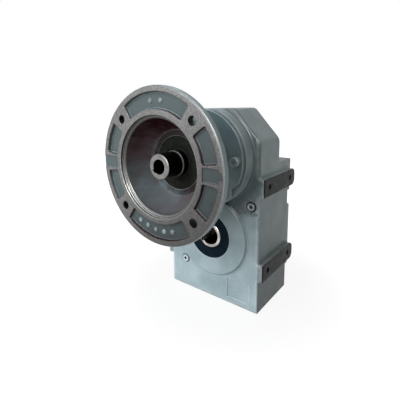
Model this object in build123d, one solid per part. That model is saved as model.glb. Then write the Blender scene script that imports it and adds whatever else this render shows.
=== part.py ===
# Shaft-mounted parallel-shaft gearbox with a bell adapter for a flange motor.
# Origin: on the output shaft's axis, halfway along the hollow shaft.
# +X is right seen from the motor, +Y points away from the motor, +Z is up. Sizes are in mm.
from build123d import *
import os
from math import acos, cos, pi, radians, sin, tan

# Gear train: spur stand-ins with involute flanks, pinions shifted out and wheels shifted in
STAGE_1_MODULE = 2.0
STAGE_1_PINION_TEETH = 14
STAGE_1_WHEEL_TEETH = 36
STAGE_2_MODULE = 2.5
STAGE_2_PINION_TEETH = 14
STAGE_2_WHEEL_TEETH = 46
PROFILE_SHIFT = 0.25
PRESSURE_ANGLE = radians(20)
BACKLASH = 0.2
FLANK_STEPS = 3
STAGE_1_FACE = 20.0
STAGE_2_FACE = 28.0
STAGE_GAP = 5.0
HUB_PROUD = 1.0
PINION_PROUD_FRONT = 2.0
PINION_PROUD_REAR = 3.0
TIP_HEIGHT = 1.0
ROOT_DEPTH = 1.25
CENTRE_1 = STAGE_1_MODULE * (STAGE_1_PINION_TEETH + STAGE_1_WHEEL_TEETH) / 2
CENTRE_2 = STAGE_2_MODULE * (STAGE_2_PINION_TEETH + STAGE_2_WHEEL_TEETH) / 2
COUNTER_Z = CENTRE_2
INPUT_Z = CENTRE_2 + CENTRE_1

# Fits
RUNNING_FIT = 0.05
SEAT_FIT = 0.02
RING_GAP = 0.35
SCREW_CLEARANCE = 0.4
KEY_TOP_CLEARANCE = 0.4
END_CHAMFER = 1.0

# Hollow output shaft
OUTPUT_BORE = 30.0
OUTPUT_LENGTH = 120.0
OUTPUT_JOURNAL = 40.0
OUTPUT_SHOULDER = 52.0
OUTPUT_WHEEL_SEAT = 46.0
OUTPUT_KEYWAY_WIDTH = 8.0
OUTPUT_KEYWAY_DEPTH = 3.3
OUTPUT_KEYWAY_ANGLE = 210
OUTPUT_KEY_WIDTH = 12.0
OUTPUT_KEY_HEIGHT = 8.0
OUTPUT_KEY_LENGTH = 28.0
OUTPUT_BEARING_OD = 80.0
OUTPUT_BEARING_WIDTH = 18.0
OUTPUT_SEAL_OD = 72.0
SEAL_WIDTH = 10.0
SEAL_DISH = 1.5
SEAL_RIM_SLOPE = 0.6
SEAL_BANDS = 4
SEAL_MOUTH_CHAMFER = 0.8
BEARING_INNER_SHARE = 0.3
BEARING_OUTER_SHARE = 0.28
SHIELD_SHARE = 0.08
WHEEL_HUB_WALL = 9.2
WHEEL_RIM_MODULES = 3
WHEEL_RECESS = 7.0

# Countershaft
COUNTER_JOURNAL = 20.0
COUNTER_COLLAR = 26.0
COUNTER_WHEEL_SEAT = 28.0
COUNTER_BEARING_OD = 47.0
COUNTER_BEARING_WIDTH = 14.0
COUNTER_KEY_WIDTH = 8.0
COUNTER_KEY_HEIGHT = 7.0
COUNTER_KEY_LENGTH = 18.0
SPACER_OD = 34.0
SPACER_LENGTH = 7.0
COUNTER_HUB_WALL = 8.4
COUNTER_FRONT_WALL = 5.0
COUNTER_REAR_WALL = 4.0

# Input shaft
MOTOR_BORE = 19.0
MOTOR_BORE_DEPTH = 47.0
MOTOR_KEYWAY_WIDTH = 6.0
MOTOR_KEYWAY_DEPTH = 2.8
MOTOR_KEYWAY_ANGLE = 218
SOCKET_OD = 32.8
SOCKET_RECESS = 6.8
INPUT_JOURNAL = 35.0
INPUT_COLLAR = 42.0
INPUT_COLLAR_WIDTH = 5.0
INPUT_STEM = 30.0
INPUT_TAIL = 17.0
INPUT_TAIL_SEAT = 1.0
JOURNAL_IN_BELL = 9.0
INPUT_FRONT_BEARING_OD = 72.0
INPUT_FRONT_BEARING_WIDTH = 17.0
INPUT_REAR_BEARING_OD = 40.0
INPUT_REAR_BEARING_WIDTH = 12.0
SEAL_LIP_WIDTH = 2.0
SEAL_LIP_HEIGHT = 3.0
CIRCLIP_THICKNESS = 2.5
CIRCLIP_DEPTH = 2.0
CIRCLIP_HEIGHT = 4.0
SHAFT_CIRCLIP_THICKNESS = 1.5
SHAFT_CIRCLIP_DEPTH = 1.2
SHAFT_CIRCLIP_HEIGHT = 3.6
CIRCLIP_GAP_ANGLE = 30

# Motor flange and bell, standard 200 mm flange
FLANGE_R = 100.0
FLANGE_THICKNESS = 9.5
FLANGE_EDGE = 2.2
FLANGE_ROOT = 4.0
SPIGOT_R = 65.0
SPIGOT_DEPTH = 4.0
BOLT_CIRCLE = 165.0
FLANGE_HOLE_R = 5.5
POCKET_INNER_R = 71.5
POCKET_OUTER_R = 92.5
POCKET_DEPTH = 4.5
POCKET_CORNER = 3.0
POCKET_DRAFT = 14.0
WEDGE_STEPS = 4
TALL_POCKET_HALF_ANGLE = 35.5
SIDE_POCKET_ANGLES = (8.0, 35.5)
CHANNEL_HALF_WIDTH = 8.0
CHANNEL_DEPTH = 1.5
CHANNEL_NOTCH_R = 5.0
BELL_LIP_R = 60.5
BELL_LIP_DEPTH = 5.6
BELL_FLOOR_R = 47.0
BELL_DEPTH = 43.0
BELL_BULGE = 2.0
BELL_CORNER = 2.5
BELL_WALL = 8.0
BELL_FLOOR_THICKNESS = 12.0
NECK_TUBE_R = 46.0
ADAPTER_LENGTH = 97.0
PLATE_R = 70.0
PLATE_THICKNESS = 5.0
PLATE_FOOT_WIDTH = 104.0
PLATE_NOTCH_TOP = 24.0
PLATE_NOTCH_BOTTOM = 39.5
ADAPTER_SPIGOT_R = 48.0
ADAPTER_SPIGOT_LENGTH = 10.0
ADAPTER_BOLT_CIRCLE = 120.0
GASKET_THICKNESS = 0.5

# Gear casing
CASE_WIDTH = 161.0
CASE_WALL = 9.0
CASE_FRONT = -55.0
CASE_REAR = 45.0
UPPER_REAR = 15.0
TOP_ABOVE_INPUT = 69.5
BOTTOM_BELOW_OUTPUT = 106.0
LEDGE_BELOW_INPUT = 12.0
CORNER_RUN = 40.5
CORNER_DROP = 46.0
SIDE_BEND_R = 16.0
TOP_BEND_R = 9.0
FOOT_CORNER_R = 3.0
FOOT_BEVEL = 3.5
FRONT_EDGE_R = 2.5
REAR_EDGE_R = 8.0
NECK_R = 73.0
NECK_LENGTH = 22.0
NECK_FLARE = 4.0
NECK_FLOOR = 12.0
INPUT_THROAT_R = 21.0
BOSS_R = 63.0
BOSS_HEIGHT = 5.5
BOSS_EDGE_R = 1.8
BOSS_FLARE = 1.5
BEARING_WALL = 7.0
COUNTER_POCKET_WALL = 5.5
SUMP_R = 94.0
PAD_HALF_HEIGHT = 13.0
PAD_PROUD = 7.0
PAD_REAR = 54.0
PAD_CORNER_R = 9.0
PAD_RAIL_DEPTH = 7.5
UPPER_PAD_BELOW_INPUT = 40.0
PAD_PITCH_Z = 125.0
PAD_PITCH_Y = 72.0
PAD_HOLE_R = 4.25
PAD_HOLE_DEPTH = 20.0
# the left pads' holes sit a little further back, so no hole lies on the axis of the one opposite
LEFT_HOLES_BACK = 1.5
PLATE_RECESS_WIDTH = 36.0
PLATE_RECESS_HEIGHT = 31.0
PLATE_RECESS_DEPTH = 1.0
PLATE_RECESS_INSET = 14.5
PLATE_RECESS_ABOVE_FOOT = 12.0
FILLER_PLUG_INSET = 11.5
FILLER_PLUG_BELOW_INPUT = 67.7
LEVEL_PLUG_INSET = 29.5
LEVEL_PLUG_ABOVE_FOOT = 51.0
PLUG_R = 5.6
PLUG_THREAD_R = 4.8
PLUG_HEAD_HEIGHT = 1.6
PLUG_HEX = 5.0
PLUG_HEX_DEPTH = 1.2
PLUG_SPOTFACE_R = 8.2
PLUG_SPOTFACE_DEPTH = 1.0
WASHER_R = 7.7
WASHER_THICKNESS = 1.0

# Rear cover
COVER_THICKNESS = 8.5
COVER_EDGE_R = 1.5
COVER_LAND = 9.5
COVER_BOTTOM_R = SUMP_R + COVER_LAND
COVER_BOSS_R = 55.0
COVER_NOTCH_TOP = 62.0
COVER_NOTCH_BOTTOM = 37.0
COVER_NOTCH_DEPTH = 4.0
COVER_NOTCH_R = 3.0
COVER_SCREW_INSET = 11.5
TOP_SCREW_INSET = 12.0
MIDDLE_SCREW_Z = 28.0
LOWER_SCREW_Z = -52.0
LOW_SCREW_INSET = 7.3
LOW_SCREW_ANGLE = 69.3
SCREW_BOSS_R = 9.0
DOWEL_R = 2.5
DOWEL_LENGTH = 18.0
DOWEL_TOP_CLEARANCE = 1.0
DOWEL_INSET = 4.5
UPPER_DOWEL_Z = 72.0
LOWER_DOWEL_Z = -12.0

# Socket head screws
SCREW_R = 4.0
SCREW_HEAD_R = 6.5
SCREW_HEAD_HEIGHT = 8.0
SCREW_HEX = 6.0
SCREW_HEX_DEPTH = 4.0
SCREW_GRIP = 17.5

# Axial places worked out from the sizes above
OUTPUT_HALF = OUTPUT_LENGTH / 2
BOSS_FACE = CASE_FRONT - BOSS_HEIGHT
SEAL_BACK = BOSS_FACE + SEAL_WIDTH
OUTPUT_BEARING_END = SEAL_BACK + OUTPUT_BEARING_WIDTH
COVER_FACE = CASE_REAR + GASKET_THICKNESS + COVER_THICKNESS
COVER_BOSS_FACE = -BOSS_FACE
CASE_INNER_FRONT = CASE_FRONT + CASE_WALL
UPPER_INNER_REAR = UPPER_REAR - CASE_WALL
NECK_FACE = CASE_FRONT - NECK_LENGTH
FLANGE_FACE = NECK_FACE - ADAPTER_LENGTH
SOCKET_FACE = FLANGE_FACE + SOCKET_RECESS
BELL_FLOOR = FLANGE_FACE + BELL_DEPTH
PLATE_BACK = NECK_FACE - GASKET_THICKNESS
PLATE_FRONT = PLATE_BACK - PLATE_THICKNESS
CASE_TOP = INPUT_Z + TOP_ABOVE_INPUT
CASE_BOTTOM = -BOTTOM_BELOW_OUTPUT
LEDGE_Z = INPUT_Z - LEDGE_BELOW_INPUT
UPPER_PAD_Z = INPUT_Z - UPPER_PAD_BELOW_INPUT
LOWER_PAD_Z = UPPER_PAD_Z - PAD_PITCH_Z
CASE_HALF = CASE_WIDTH / 2
PAD_FACE = CASE_HALF + PAD_PROUD
INPUT_BEARING_FRONT = BELL_FLOOR + SEAL_WIDTH + SEAL_LIP_WIDTH
INPUT_BEARING_BACK = INPUT_BEARING_FRONT + INPUT_FRONT_BEARING_WIDTH
COUNTER_FRONT = CASE_FRONT + COUNTER_FRONT_WALL
COUNTER_BEARING_BACK = COUNTER_FRONT + COUNTER_BEARING_WIDTH
COUNTER_REAR = COVER_FACE - COUNTER_REAR_WALL
COUNTER_REAR_BEARING = COUNTER_REAR - COUNTER_BEARING_WIDTH
STAGE_1_START = COUNTER_BEARING_BACK + SPACER_LENGTH + HUB_PROUD
STAGE_1_WHEEL_Y = (STAGE_1_START, STAGE_1_START + STAGE_1_FACE)
STAGE_1_PINION_Y = (STAGE_1_WHEEL_Y[0] - HUB_PROUD, STAGE_1_WHEEL_Y[1] + HUB_PROUD)
STAGE_2_START = STAGE_1_WHEEL_Y[1] + STAGE_GAP
STAGE_2_WHEEL_Y = (STAGE_2_START, STAGE_2_START + STAGE_2_FACE)
STAGE_2_PINION_Y = (STAGE_2_WHEEL_Y[0] - PINION_PROUD_FRONT, STAGE_2_WHEEL_Y[1] + PINION_PROUD_REAR)
COUNTER_HUB_Y = (STAGE_1_WHEEL_Y[0] - HUB_PROUD, STAGE_2_PINION_Y[0])
OUTPUT_HUB_Y = (STAGE_2_WHEEL_Y[0] - PINION_PROUD_FRONT, -OUTPUT_BEARING_END)
INPUT_TAIL_END = UPPER_INNER_REAR + INPUT_TAIL_SEAT
INPUT_REAR_BEARING = (INPUT_TAIL_END - INPUT_REAR_BEARING_WIDTH, INPUT_TAIL_END)
FILLER_PLUG_SPOT = (CASE_HALF - FILLER_PLUG_INSET, INPUT_Z - FILLER_PLUG_BELOW_INPUT)
LEVEL_PLUG_SPOT = (LEVEL_PLUG_INSET - CASE_HALF, CASE_BOTTOM + LEVEL_PLUG_ABOVE_FOOT)
PLATE_RECESS_CENTRE = (CASE_HALF - PLATE_RECESS_INSET - PLATE_RECESS_WIDTH / 2,
                       CASE_BOTTOM + PLATE_RECESS_ABOVE_FOOT + PLATE_RECESS_HEIGHT / 2)
DOWEL_X = CASE_HALF - DOWEL_INSET
DOWEL_SPOTS = ((DOWEL_X, UPPER_DOWEL_Z), (-DOWEL_X, LOWER_DOWEL_Z))


def slab(sketch, y_low, y_high):
    """A sketch drawn as (x, z), made into a prism between two places along Y."""
    return extrude(Plane.XZ.offset(-y_high) * sketch, amount=y_high - y_low)


def disc(radius, y_low, y_high, z=0.0, x=0.0):
    return slab(Pos(x, z) * Circle(radius), y_low, y_high)


def tube(outer, inner, y_low, y_high, z=0.0):
    return slab(Pos(0, z) * (Circle(outer) - Circle(inner)), y_low, y_high)


def turned(outline, z=0.0):
    """A closed outline in (radius, y), revolved about a shaft axis at height z."""
    return Pos(0, 0, z) * revolve(make_face(outline), axis=Axis.Y)


def box(x_span, y_span, z_span):
    size = (x_span[1] - x_span[0], y_span[1] - y_span[0], z_span[1] - z_span[0])
    middle = ((x_span[0] + x_span[1]) / 2, (y_span[0] + y_span[1]) / 2, (z_span[0] + z_span[1]) / 2)
    return Pos(*middle) * Box(*size)


def keyway(width, radius, angle, y_low, y_high, z=0.0):
    """A slot from a shaft's axis out to a radius, at an angle seen from the motor."""
    slot = Rot(0, 0, angle) * Pos(radius / 2, 0) * Rectangle(radius, width)
    return slab(Pos(0, z) * slot, y_low, y_high)


def involute(angle):
    return tan(angle) - angle


def gear_outline(teeth, module, shift, tooth_angle):
    """Involute gear outline with one tooth centred at tooth_angle, as a sketch about its own axis."""
    pitch_r = module * teeth / 2
    base_r = pitch_r * cos(PRESSURE_ANGLE)
    tip_r = pitch_r + module * (TIP_HEIGHT + shift)
    root_r = pitch_r - module * (ROOT_DEPTH - shift)
    half_at_pitch = (pi / 2 + 2 * shift * tan(PRESSURE_ANGLE)) / teeth - BACKLASH / (4 * pitch_r)
    flank_foot = max(base_r, root_r)
    flank = []
    for step in range(FLANK_STEPS + 1):
        radius = flank_foot + (tip_r - flank_foot) * step / FLANK_STEPS
        roll = involute(acos(min(1.0, base_r / radius)))
        flank.append((radius, half_at_pitch + involute(PRESSURE_ANGLE) - roll))
    if root_r < base_r:
        flank.insert(0, (root_r, flank[0][1]))
    points = []
    for tooth in range(teeth):
        centre = radians(tooth_angle) + 2 * pi * tooth / teeth
        for radius, half in flank:
            points.append((radius * cos(centre - half), radius * sin(centre - half)))
        for radius, half in reversed(flank):
            points.append((radius * cos(centre + half), radius * sin(centre + half)))
    return make_face(Polyline(*points, close=True))


def gear(teeth, module, shift, tooth_angle, span, z):
    return slab(Pos(0, z) * gear_outline(teeth, module, shift, tooth_angle), *span)


def socket_screw(x, z, seat, plate, turn):
    """Socket head cap screw through a plate into the casing; a turn of 180 points it along -Y."""
    hexagon = RegularPolygon(SCREW_HEX / 2, 6, major_radius=False)
    screw = disc(SCREW_HEAD_R, -SCREW_HEAD_HEIGHT, 0)
    screw -= slab(hexagon, -SCREW_HEAD_HEIGHT, SCREW_HEX_DEPTH - SCREW_HEAD_HEIGHT)
    screw += disc(SCREW_R, 0, plate + GASKET_THICKNESS + SCREW_GRIP)
    return Pos(x, seat, z) * Rot(0, 0, turn) * screw


def on_circle(diameter, angle, z=0.0):
    """A place on a bolt circle, as (x, z)."""
    return diameter / 2 * cos(radians(angle)), z + diameter / 2 * sin(radians(angle))


ADAPTER_SCREW_SPOTS = [on_circle(ADAPTER_BOLT_CIRCLE, angle, INPUT_Z) for angle in (0, 90, 180, 270)]
FLANGE_HOLE_SPOTS = [on_circle(BOLT_CIRCLE, angle, INPUT_Z) for angle in (45, 135, 225, 315)]
COVER_SCREW_X = CASE_HALF - COVER_SCREW_INSET
COVER_SCREW_ROWS = (LEDGE_Z - TOP_SCREW_INSET, MIDDLE_SCREW_Z, LOWER_SCREW_Z)
LOW_SCREW_CIRCLE = 2 * (COVER_BOTTOM_R - LOW_SCREW_INSET)
COVER_SCREW_SPOTS = [(side * COVER_SCREW_X, z) for side in (-1, 1) for z in COVER_SCREW_ROWS]
COVER_SCREW_SPOTS += [on_circle(LOW_SCREW_CIRCLE, angle)
                      for angle in (-LOW_SCREW_ANGLE, LOW_SCREW_ANGLE - 180)]


def case_outline():
    """Front view of the casing: straight sides and foot, sloped upper corners."""
    shoulder = CASE_TOP - CORNER_DROP
    crown = CASE_HALF - CORNER_RUN
    corners = [(-CASE_HALF, CASE_BOTTOM), (CASE_HALF, CASE_BOTTOM), (CASE_HALF, shoulder),
               (crown, CASE_TOP), (-crown, CASE_TOP), (-CASE_HALF, shoulder)]
    outline = Sketch() + make_face(Polyline(*corners, close=True))
    levels = outline.vertices().group_by(Axis.Y)
    outline = fillet(levels[1], SIDE_BEND_R)
    outline = fillet(outline.vertices().group_by(Axis.Y)[-1], TOP_BEND_R)
    return fillet(outline.vertices().group_by(Axis.Y)[0], FOOT_CORNER_R)


def below(sketch, z_top):
    return sketch & rect((-2 * CASE_WIDTH, 2 * CASE_WIDTH), (CASE_BOTTOM - CASE_WIDTH, z_top))


def rect(x_span, z_span):
    middle = ((x_span[0] + x_span[1]) / 2, (z_span[0] + z_span[1]) / 2)
    return Pos(*middle) * Rectangle(x_span[1] - x_span[0], z_span[1] - z_span[0])


def cavity_outline():
    """Inside of the casing: an even wall, a round sump, rails behind the pads and screw bosses."""
    inner = offset(case_outline(), amount=-CASE_WALL, kind=Kind.INTERSECTION)
    sump = Circle(SUMP_R) + rect((-CASE_WIDTH, CASE_WIDTH), (0, CASE_TOP))
    inner = inner & sump
    rail_x = CASE_HALF - CASE_WALL - PAD_RAIL_DEPTH
    for z in (UPPER_PAD_Z, LOWER_PAD_Z):
        for side in (-1, 1):
            inner -= Pos(side * (rail_x + CASE_WALL), z) * Rectangle(2 * CASE_WALL, 2 * PAD_HALF_HEIGHT)
    for x, z in COVER_SCREW_SPOTS:
        inner -= Pos(x, z) * Circle(SCREW_BOSS_R)
    return inner


def neck():
    """Round neck that carries the adapter, flared into the front face and cut flush at the top."""
    foot_r = NECK_R + NECK_FLARE
    outline = Polyline((0, CASE_INNER_FRONT), (0, NECK_FACE), (NECK_R, NECK_FACE),
                       (NECK_R, CASE_FRONT - NECK_FLARE))
    flare = RadiusArc((NECK_R, CASE_FRONT - NECK_FLARE), (foot_r, CASE_FRONT), NECK_FLARE)
    foot = Polyline((foot_r, CASE_FRONT), (foot_r, CASE_INNER_FRONT), (0, CASE_INNER_FRONT))
    return turned(outline + flare + foot, INPUT_Z) & slab(case_outline(), NECK_FACE, CASE_INNER_FRONT)


def output_boss():
    """Raised round seat round the output seal, with a rounded rim and a small flare at its foot."""
    rim = BOSS_R - BOSS_EDGE_R
    outline = Polyline((0, CASE_INNER_FRONT), (0, BOSS_FACE), (rim, BOSS_FACE))
    edge = RadiusArc((rim, BOSS_FACE), (BOSS_R, BOSS_FACE + BOSS_EDGE_R), -BOSS_EDGE_R)
    wall = Line((BOSS_R, BOSS_FACE + BOSS_EDGE_R), (BOSS_R, CASE_FRONT - BOSS_FLARE))
    foot_r = BOSS_R + BOSS_FLARE
    flare = RadiusArc((BOSS_R, CASE_FRONT - BOSS_FLARE), (foot_r, CASE_FRONT), BOSS_FLARE)
    foot = Polyline((foot_r, CASE_FRONT), (foot_r, CASE_INNER_FRONT), (0, CASE_INNER_FRONT))
    return turned(outline + edge + wall + flare + foot)


def seal_mouth(face, depth):
    """Lead-in chamfer at the mouth of an output seal's seat; depth may be negative."""
    seat_r = OUTPUT_SEAL_OD / 2
    mouth_r = seat_r + abs(depth)
    outline = Polyline((0, face), (mouth_r, face), (seat_r, face + depth), (0, face + depth), close=True)
    return turned(outline)


def side_pad(side, z):
    """Machined mounting pad on the casing's side, from the front face to beside the rear cover."""
    face = Rectangle(PAD_REAR - CASE_FRONT, 2 * PAD_HALF_HEIGHT)
    face = fillet(face.vertices().group_by(Axis.X)[-1], PAD_CORNER_R)
    spot = Plane.YZ * Pos((PAD_REAR + CASE_FRONT) / 2, z) * face
    pad = extrude(spot, amount=PAD_FACE)
    pad -= extrude(spot, amount=CASE_HALF - CASE_WALL)
    pad -= box((0, CASE_HALF + SEAT_FIT), (CASE_REAR, 2 * PAD_REAR), (z - CASE_WIDTH, z + CASE_WIDTH))
    return pad if side > 0 else mirror(pad, Plane.YZ)


def foot_bevel():
    """Wedge that bevels the bottom edge of the front face."""
    wedge = Polyline((CASE_FRONT, CASE_BOTTOM), (CASE_FRONT + FOOT_BEVEL, CASE_BOTTOM),
                     (CASE_FRONT, CASE_BOTTOM + FOOT_BEVEL), close=True)
    return extrude(Plane.YZ * make_face(wedge), amount=CASE_WIDTH, both=True)


def gear_case():
    body = slab(case_outline(), CASE_FRONT, UPPER_REAR)
    body = fillet(body.edges().group_by(Axis.Y)[-1], REAR_EDGE_R)
    body = fillet(body.edges().group_by(Axis.Y)[0], FRONT_EDGE_R)
    body += slab(below(case_outline(), LEDGE_Z), 0, CASE_REAR)
    body -= foot_bevel()
    body += neck()
    body += output_boss()
    for z in (UPPER_PAD_Z, LOWER_PAD_Z):
        for side in (-1, 1):
            body += side_pad(side, z)
    inside = cavity_outline()
    body -= slab(inside, CASE_INNER_FRONT, UPPER_INNER_REAR)
    body -= slab(below(inside, LEDGE_Z - CASE_WALL), 0, CASE_REAR)
    body += disc(OUTPUT_BEARING_OD / 2 + BEARING_WALL, CASE_INNER_FRONT, OUTPUT_BEARING_END)
    counter_seat_r = COUNTER_BEARING_OD / 2 + COUNTER_POCKET_WALL
    body += disc(counter_seat_r, CASE_INNER_FRONT, COUNTER_BEARING_BACK, COUNTER_Z)
    input_seat_r = INPUT_REAR_BEARING_OD / 2 + COUNTER_POCKET_WALL
    body += disc(input_seat_r, INPUT_REAR_BEARING[0], UPPER_INNER_REAR, INPUT_Z)
    body -= disc(OUTPUT_SEAL_OD / 2, BOSS_FACE, SEAL_BACK)
    body -= seal_mouth(BOSS_FACE, SEAL_MOUTH_CHAMFER)
    body -= disc(OUTPUT_BEARING_OD / 2, SEAL_BACK, OUTPUT_BEARING_END)
    body -= disc(COUNTER_BEARING_OD / 2, COUNTER_FRONT, COUNTER_BEARING_BACK, COUNTER_Z)
    body -= disc(INPUT_REAR_BEARING_OD / 2, *INPUT_REAR_BEARING, INPUT_Z)
    body -= disc(ADAPTER_SPIGOT_R, NECK_FACE, CASE_INNER_FRONT - NECK_FLOOR, INPUT_Z)
    body -= disc(INPUT_THROAT_R, NECK_FACE, CASE_INNER_FRONT, INPUT_Z)
    for x, z in ADAPTER_SCREW_SPOTS:
        body -= disc(SCREW_R + RUNNING_FIT, NECK_FACE, NECK_FACE + SCREW_GRIP, z, x)
    for x, z in COVER_SCREW_SPOTS:
        body -= disc(SCREW_R + RUNNING_FIT, CASE_REAR - SCREW_GRIP, CASE_REAR, z, x)
    for x, z in DOWEL_SPOTS:
        body -= disc(DOWEL_R, CASE_REAR + GASKET_THICKNESS - DOWEL_LENGTH / 2, CASE_REAR, z, x)
    for x, z in (FILLER_PLUG_SPOT, LEVEL_PLUG_SPOT):
        body -= disc(PLUG_SPOTFACE_R, CASE_FRONT, CASE_FRONT + PLUG_SPOTFACE_DEPTH, z, x)
        body -= disc(PLUG_THREAD_R + SEAT_FIT, CASE_FRONT, CASE_INNER_FRONT, z, x)
    for side, middle in ((-1, LEFT_HOLES_BACK), (1, 0)):
        for y in (middle - PAD_PITCH_Y / 2, middle + PAD_PITCH_Y / 2):
            for z in (UPPER_PAD_Z, LOWER_PAD_Z):
                hole = Pos(side * (PAD_FACE - PAD_HOLE_DEPTH / 2), y, z) * Rot(0, 90, 0)
                body -= hole * Cylinder(PAD_HOLE_R, PAD_HOLE_DEPTH)
    recess = Pos(*PLATE_RECESS_CENTRE) * Rectangle(PLATE_RECESS_WIDTH, PLATE_RECESS_HEIGHT)
    body -= slab(recess, CASE_FRONT, CASE_FRONT + PLATE_RECESS_DEPTH)
    return body


def cover_blank():
    """Rear cover seen from behind: square above, round about the output below."""
    blank = rect((-CASE_HALF, CASE_HALF), (0, LEDGE_Z))
    return blank + (Circle(COVER_BOTTOM_R) & rect((-CASE_HALF, CASE_HALF), (-CASE_WIDTH, 0)))


def cover_notches():
    """Shallow notches in the cover's sides, between its screws."""
    depth = 2 * COVER_NOTCH_DEPTH
    notch = Rectangle(depth, COVER_NOTCH_TOP - COVER_NOTCH_BOTTOM)
    notch = fillet(notch.vertices(), COVER_NOTCH_R)
    middle = (COVER_NOTCH_TOP + COVER_NOTCH_BOTTOM) / 2
    return Pos(CASE_HALF, middle) * notch + Pos(-CASE_HALF, middle) * notch


def rear_cover():
    plate_y = CASE_REAR + GASKET_THICKNESS
    body = slab(cover_blank(), plate_y, COVER_FACE)
    body = chamfer(body.edges().group_by(Axis.Y)[-1], COVER_EDGE_R)
    body -= slab(cover_notches(), plate_y, COVER_FACE)
    body += disc(COVER_BOSS_R, COVER_FACE, COVER_BOSS_FACE)
    body += disc(OUTPUT_BEARING_OD / 2 + BEARING_WALL, -OUTPUT_BEARING_END, plate_y)
    body += disc(COUNTER_BEARING_OD / 2 + COUNTER_POCKET_WALL, COUNTER_REAR_BEARING, plate_y, COUNTER_Z)
    body -= disc(OUTPUT_BEARING_OD / 2, -OUTPUT_BEARING_END, -SEAL_BACK)
    body -= disc(OUTPUT_SEAL_OD / 2, -SEAL_BACK, COVER_BOSS_FACE)
    body -= seal_mouth(COVER_BOSS_FACE, -SEAL_MOUTH_CHAMFER)
    body -= disc(COUNTER_BEARING_OD / 2, COUNTER_REAR_BEARING, COUNTER_REAR, COUNTER_Z)
    for x, z in COVER_SCREW_SPOTS:
        body -= disc(SCREW_R + SCREW_CLEARANCE, plate_y, COVER_FACE, z, x)
    for x, z in DOWEL_SPOTS:
        body -= disc(DOWEL_R + RUNNING_FIT, plate_y, plate_y + DOWEL_LENGTH / 2, z, x)
    return body


def rear_cover_gasket():
    sheet = cover_blank() - cover_notches() - below(cavity_outline(), LEDGE_Z - CASE_WALL)
    for x, z in COVER_SCREW_SPOTS:
        sheet -= Pos(x, z) * Circle(SCREW_R + SCREW_CLEARANCE)
    for x, z in DOWEL_SPOTS:
        sheet -= Pos(x, z) * Circle(DOWEL_R + SCREW_CLEARANCE)
    return slab(sheet, CASE_REAR, CASE_REAR + GASKET_THICKNESS)


def plate_outline():
    """Adapter plate about the input axis: round above, notched and narrower at the foot."""
    half = PLATE_FOOT_WIDTH / 2
    foot = Circle(NECK_R) & rect((-half, half), (-CASE_WIDTH, -PLATE_NOTCH_BOTTOM))
    outline = Circle(PLATE_R)
    reach = 2 * PLATE_R
    for side in (-1, 1):
        notch = make_face(Polyline((side * reach, -PLATE_NOTCH_TOP), (side * PLATE_R, -PLATE_NOTCH_TOP),
                                   (side * half, -PLATE_NOTCH_BOTTOM), (side * half, -reach),
                                   (side * reach, -reach), close=True))
        outline -= notch
    return outline + foot


def sector_pocket(start, end):
    """Cast pocket in the flange face between two angles, with rounded corners and drafted walls."""
    reach = 2 * FLANGE_R
    rim = [start + (end - start) * i / WEDGE_STEPS for i in range(WEDGE_STEPS + 1)]
    wedge = [(0, 0)] + [(reach * cos(radians(a)), reach * sin(radians(a))) for a in rim]
    ring = Circle(POCKET_OUTER_R) - Circle(POCKET_INNER_R)
    sector = ring & make_face(Polyline(*wedge, close=True))
    sector = Pos(0, INPUT_Z) * fillet(sector.vertices(), POCKET_CORNER)
    return extrude(Plane.XZ.offset(-FLANGE_FACE) * sector, amount=-POCKET_DEPTH, taper=POCKET_DRAFT)


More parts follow.
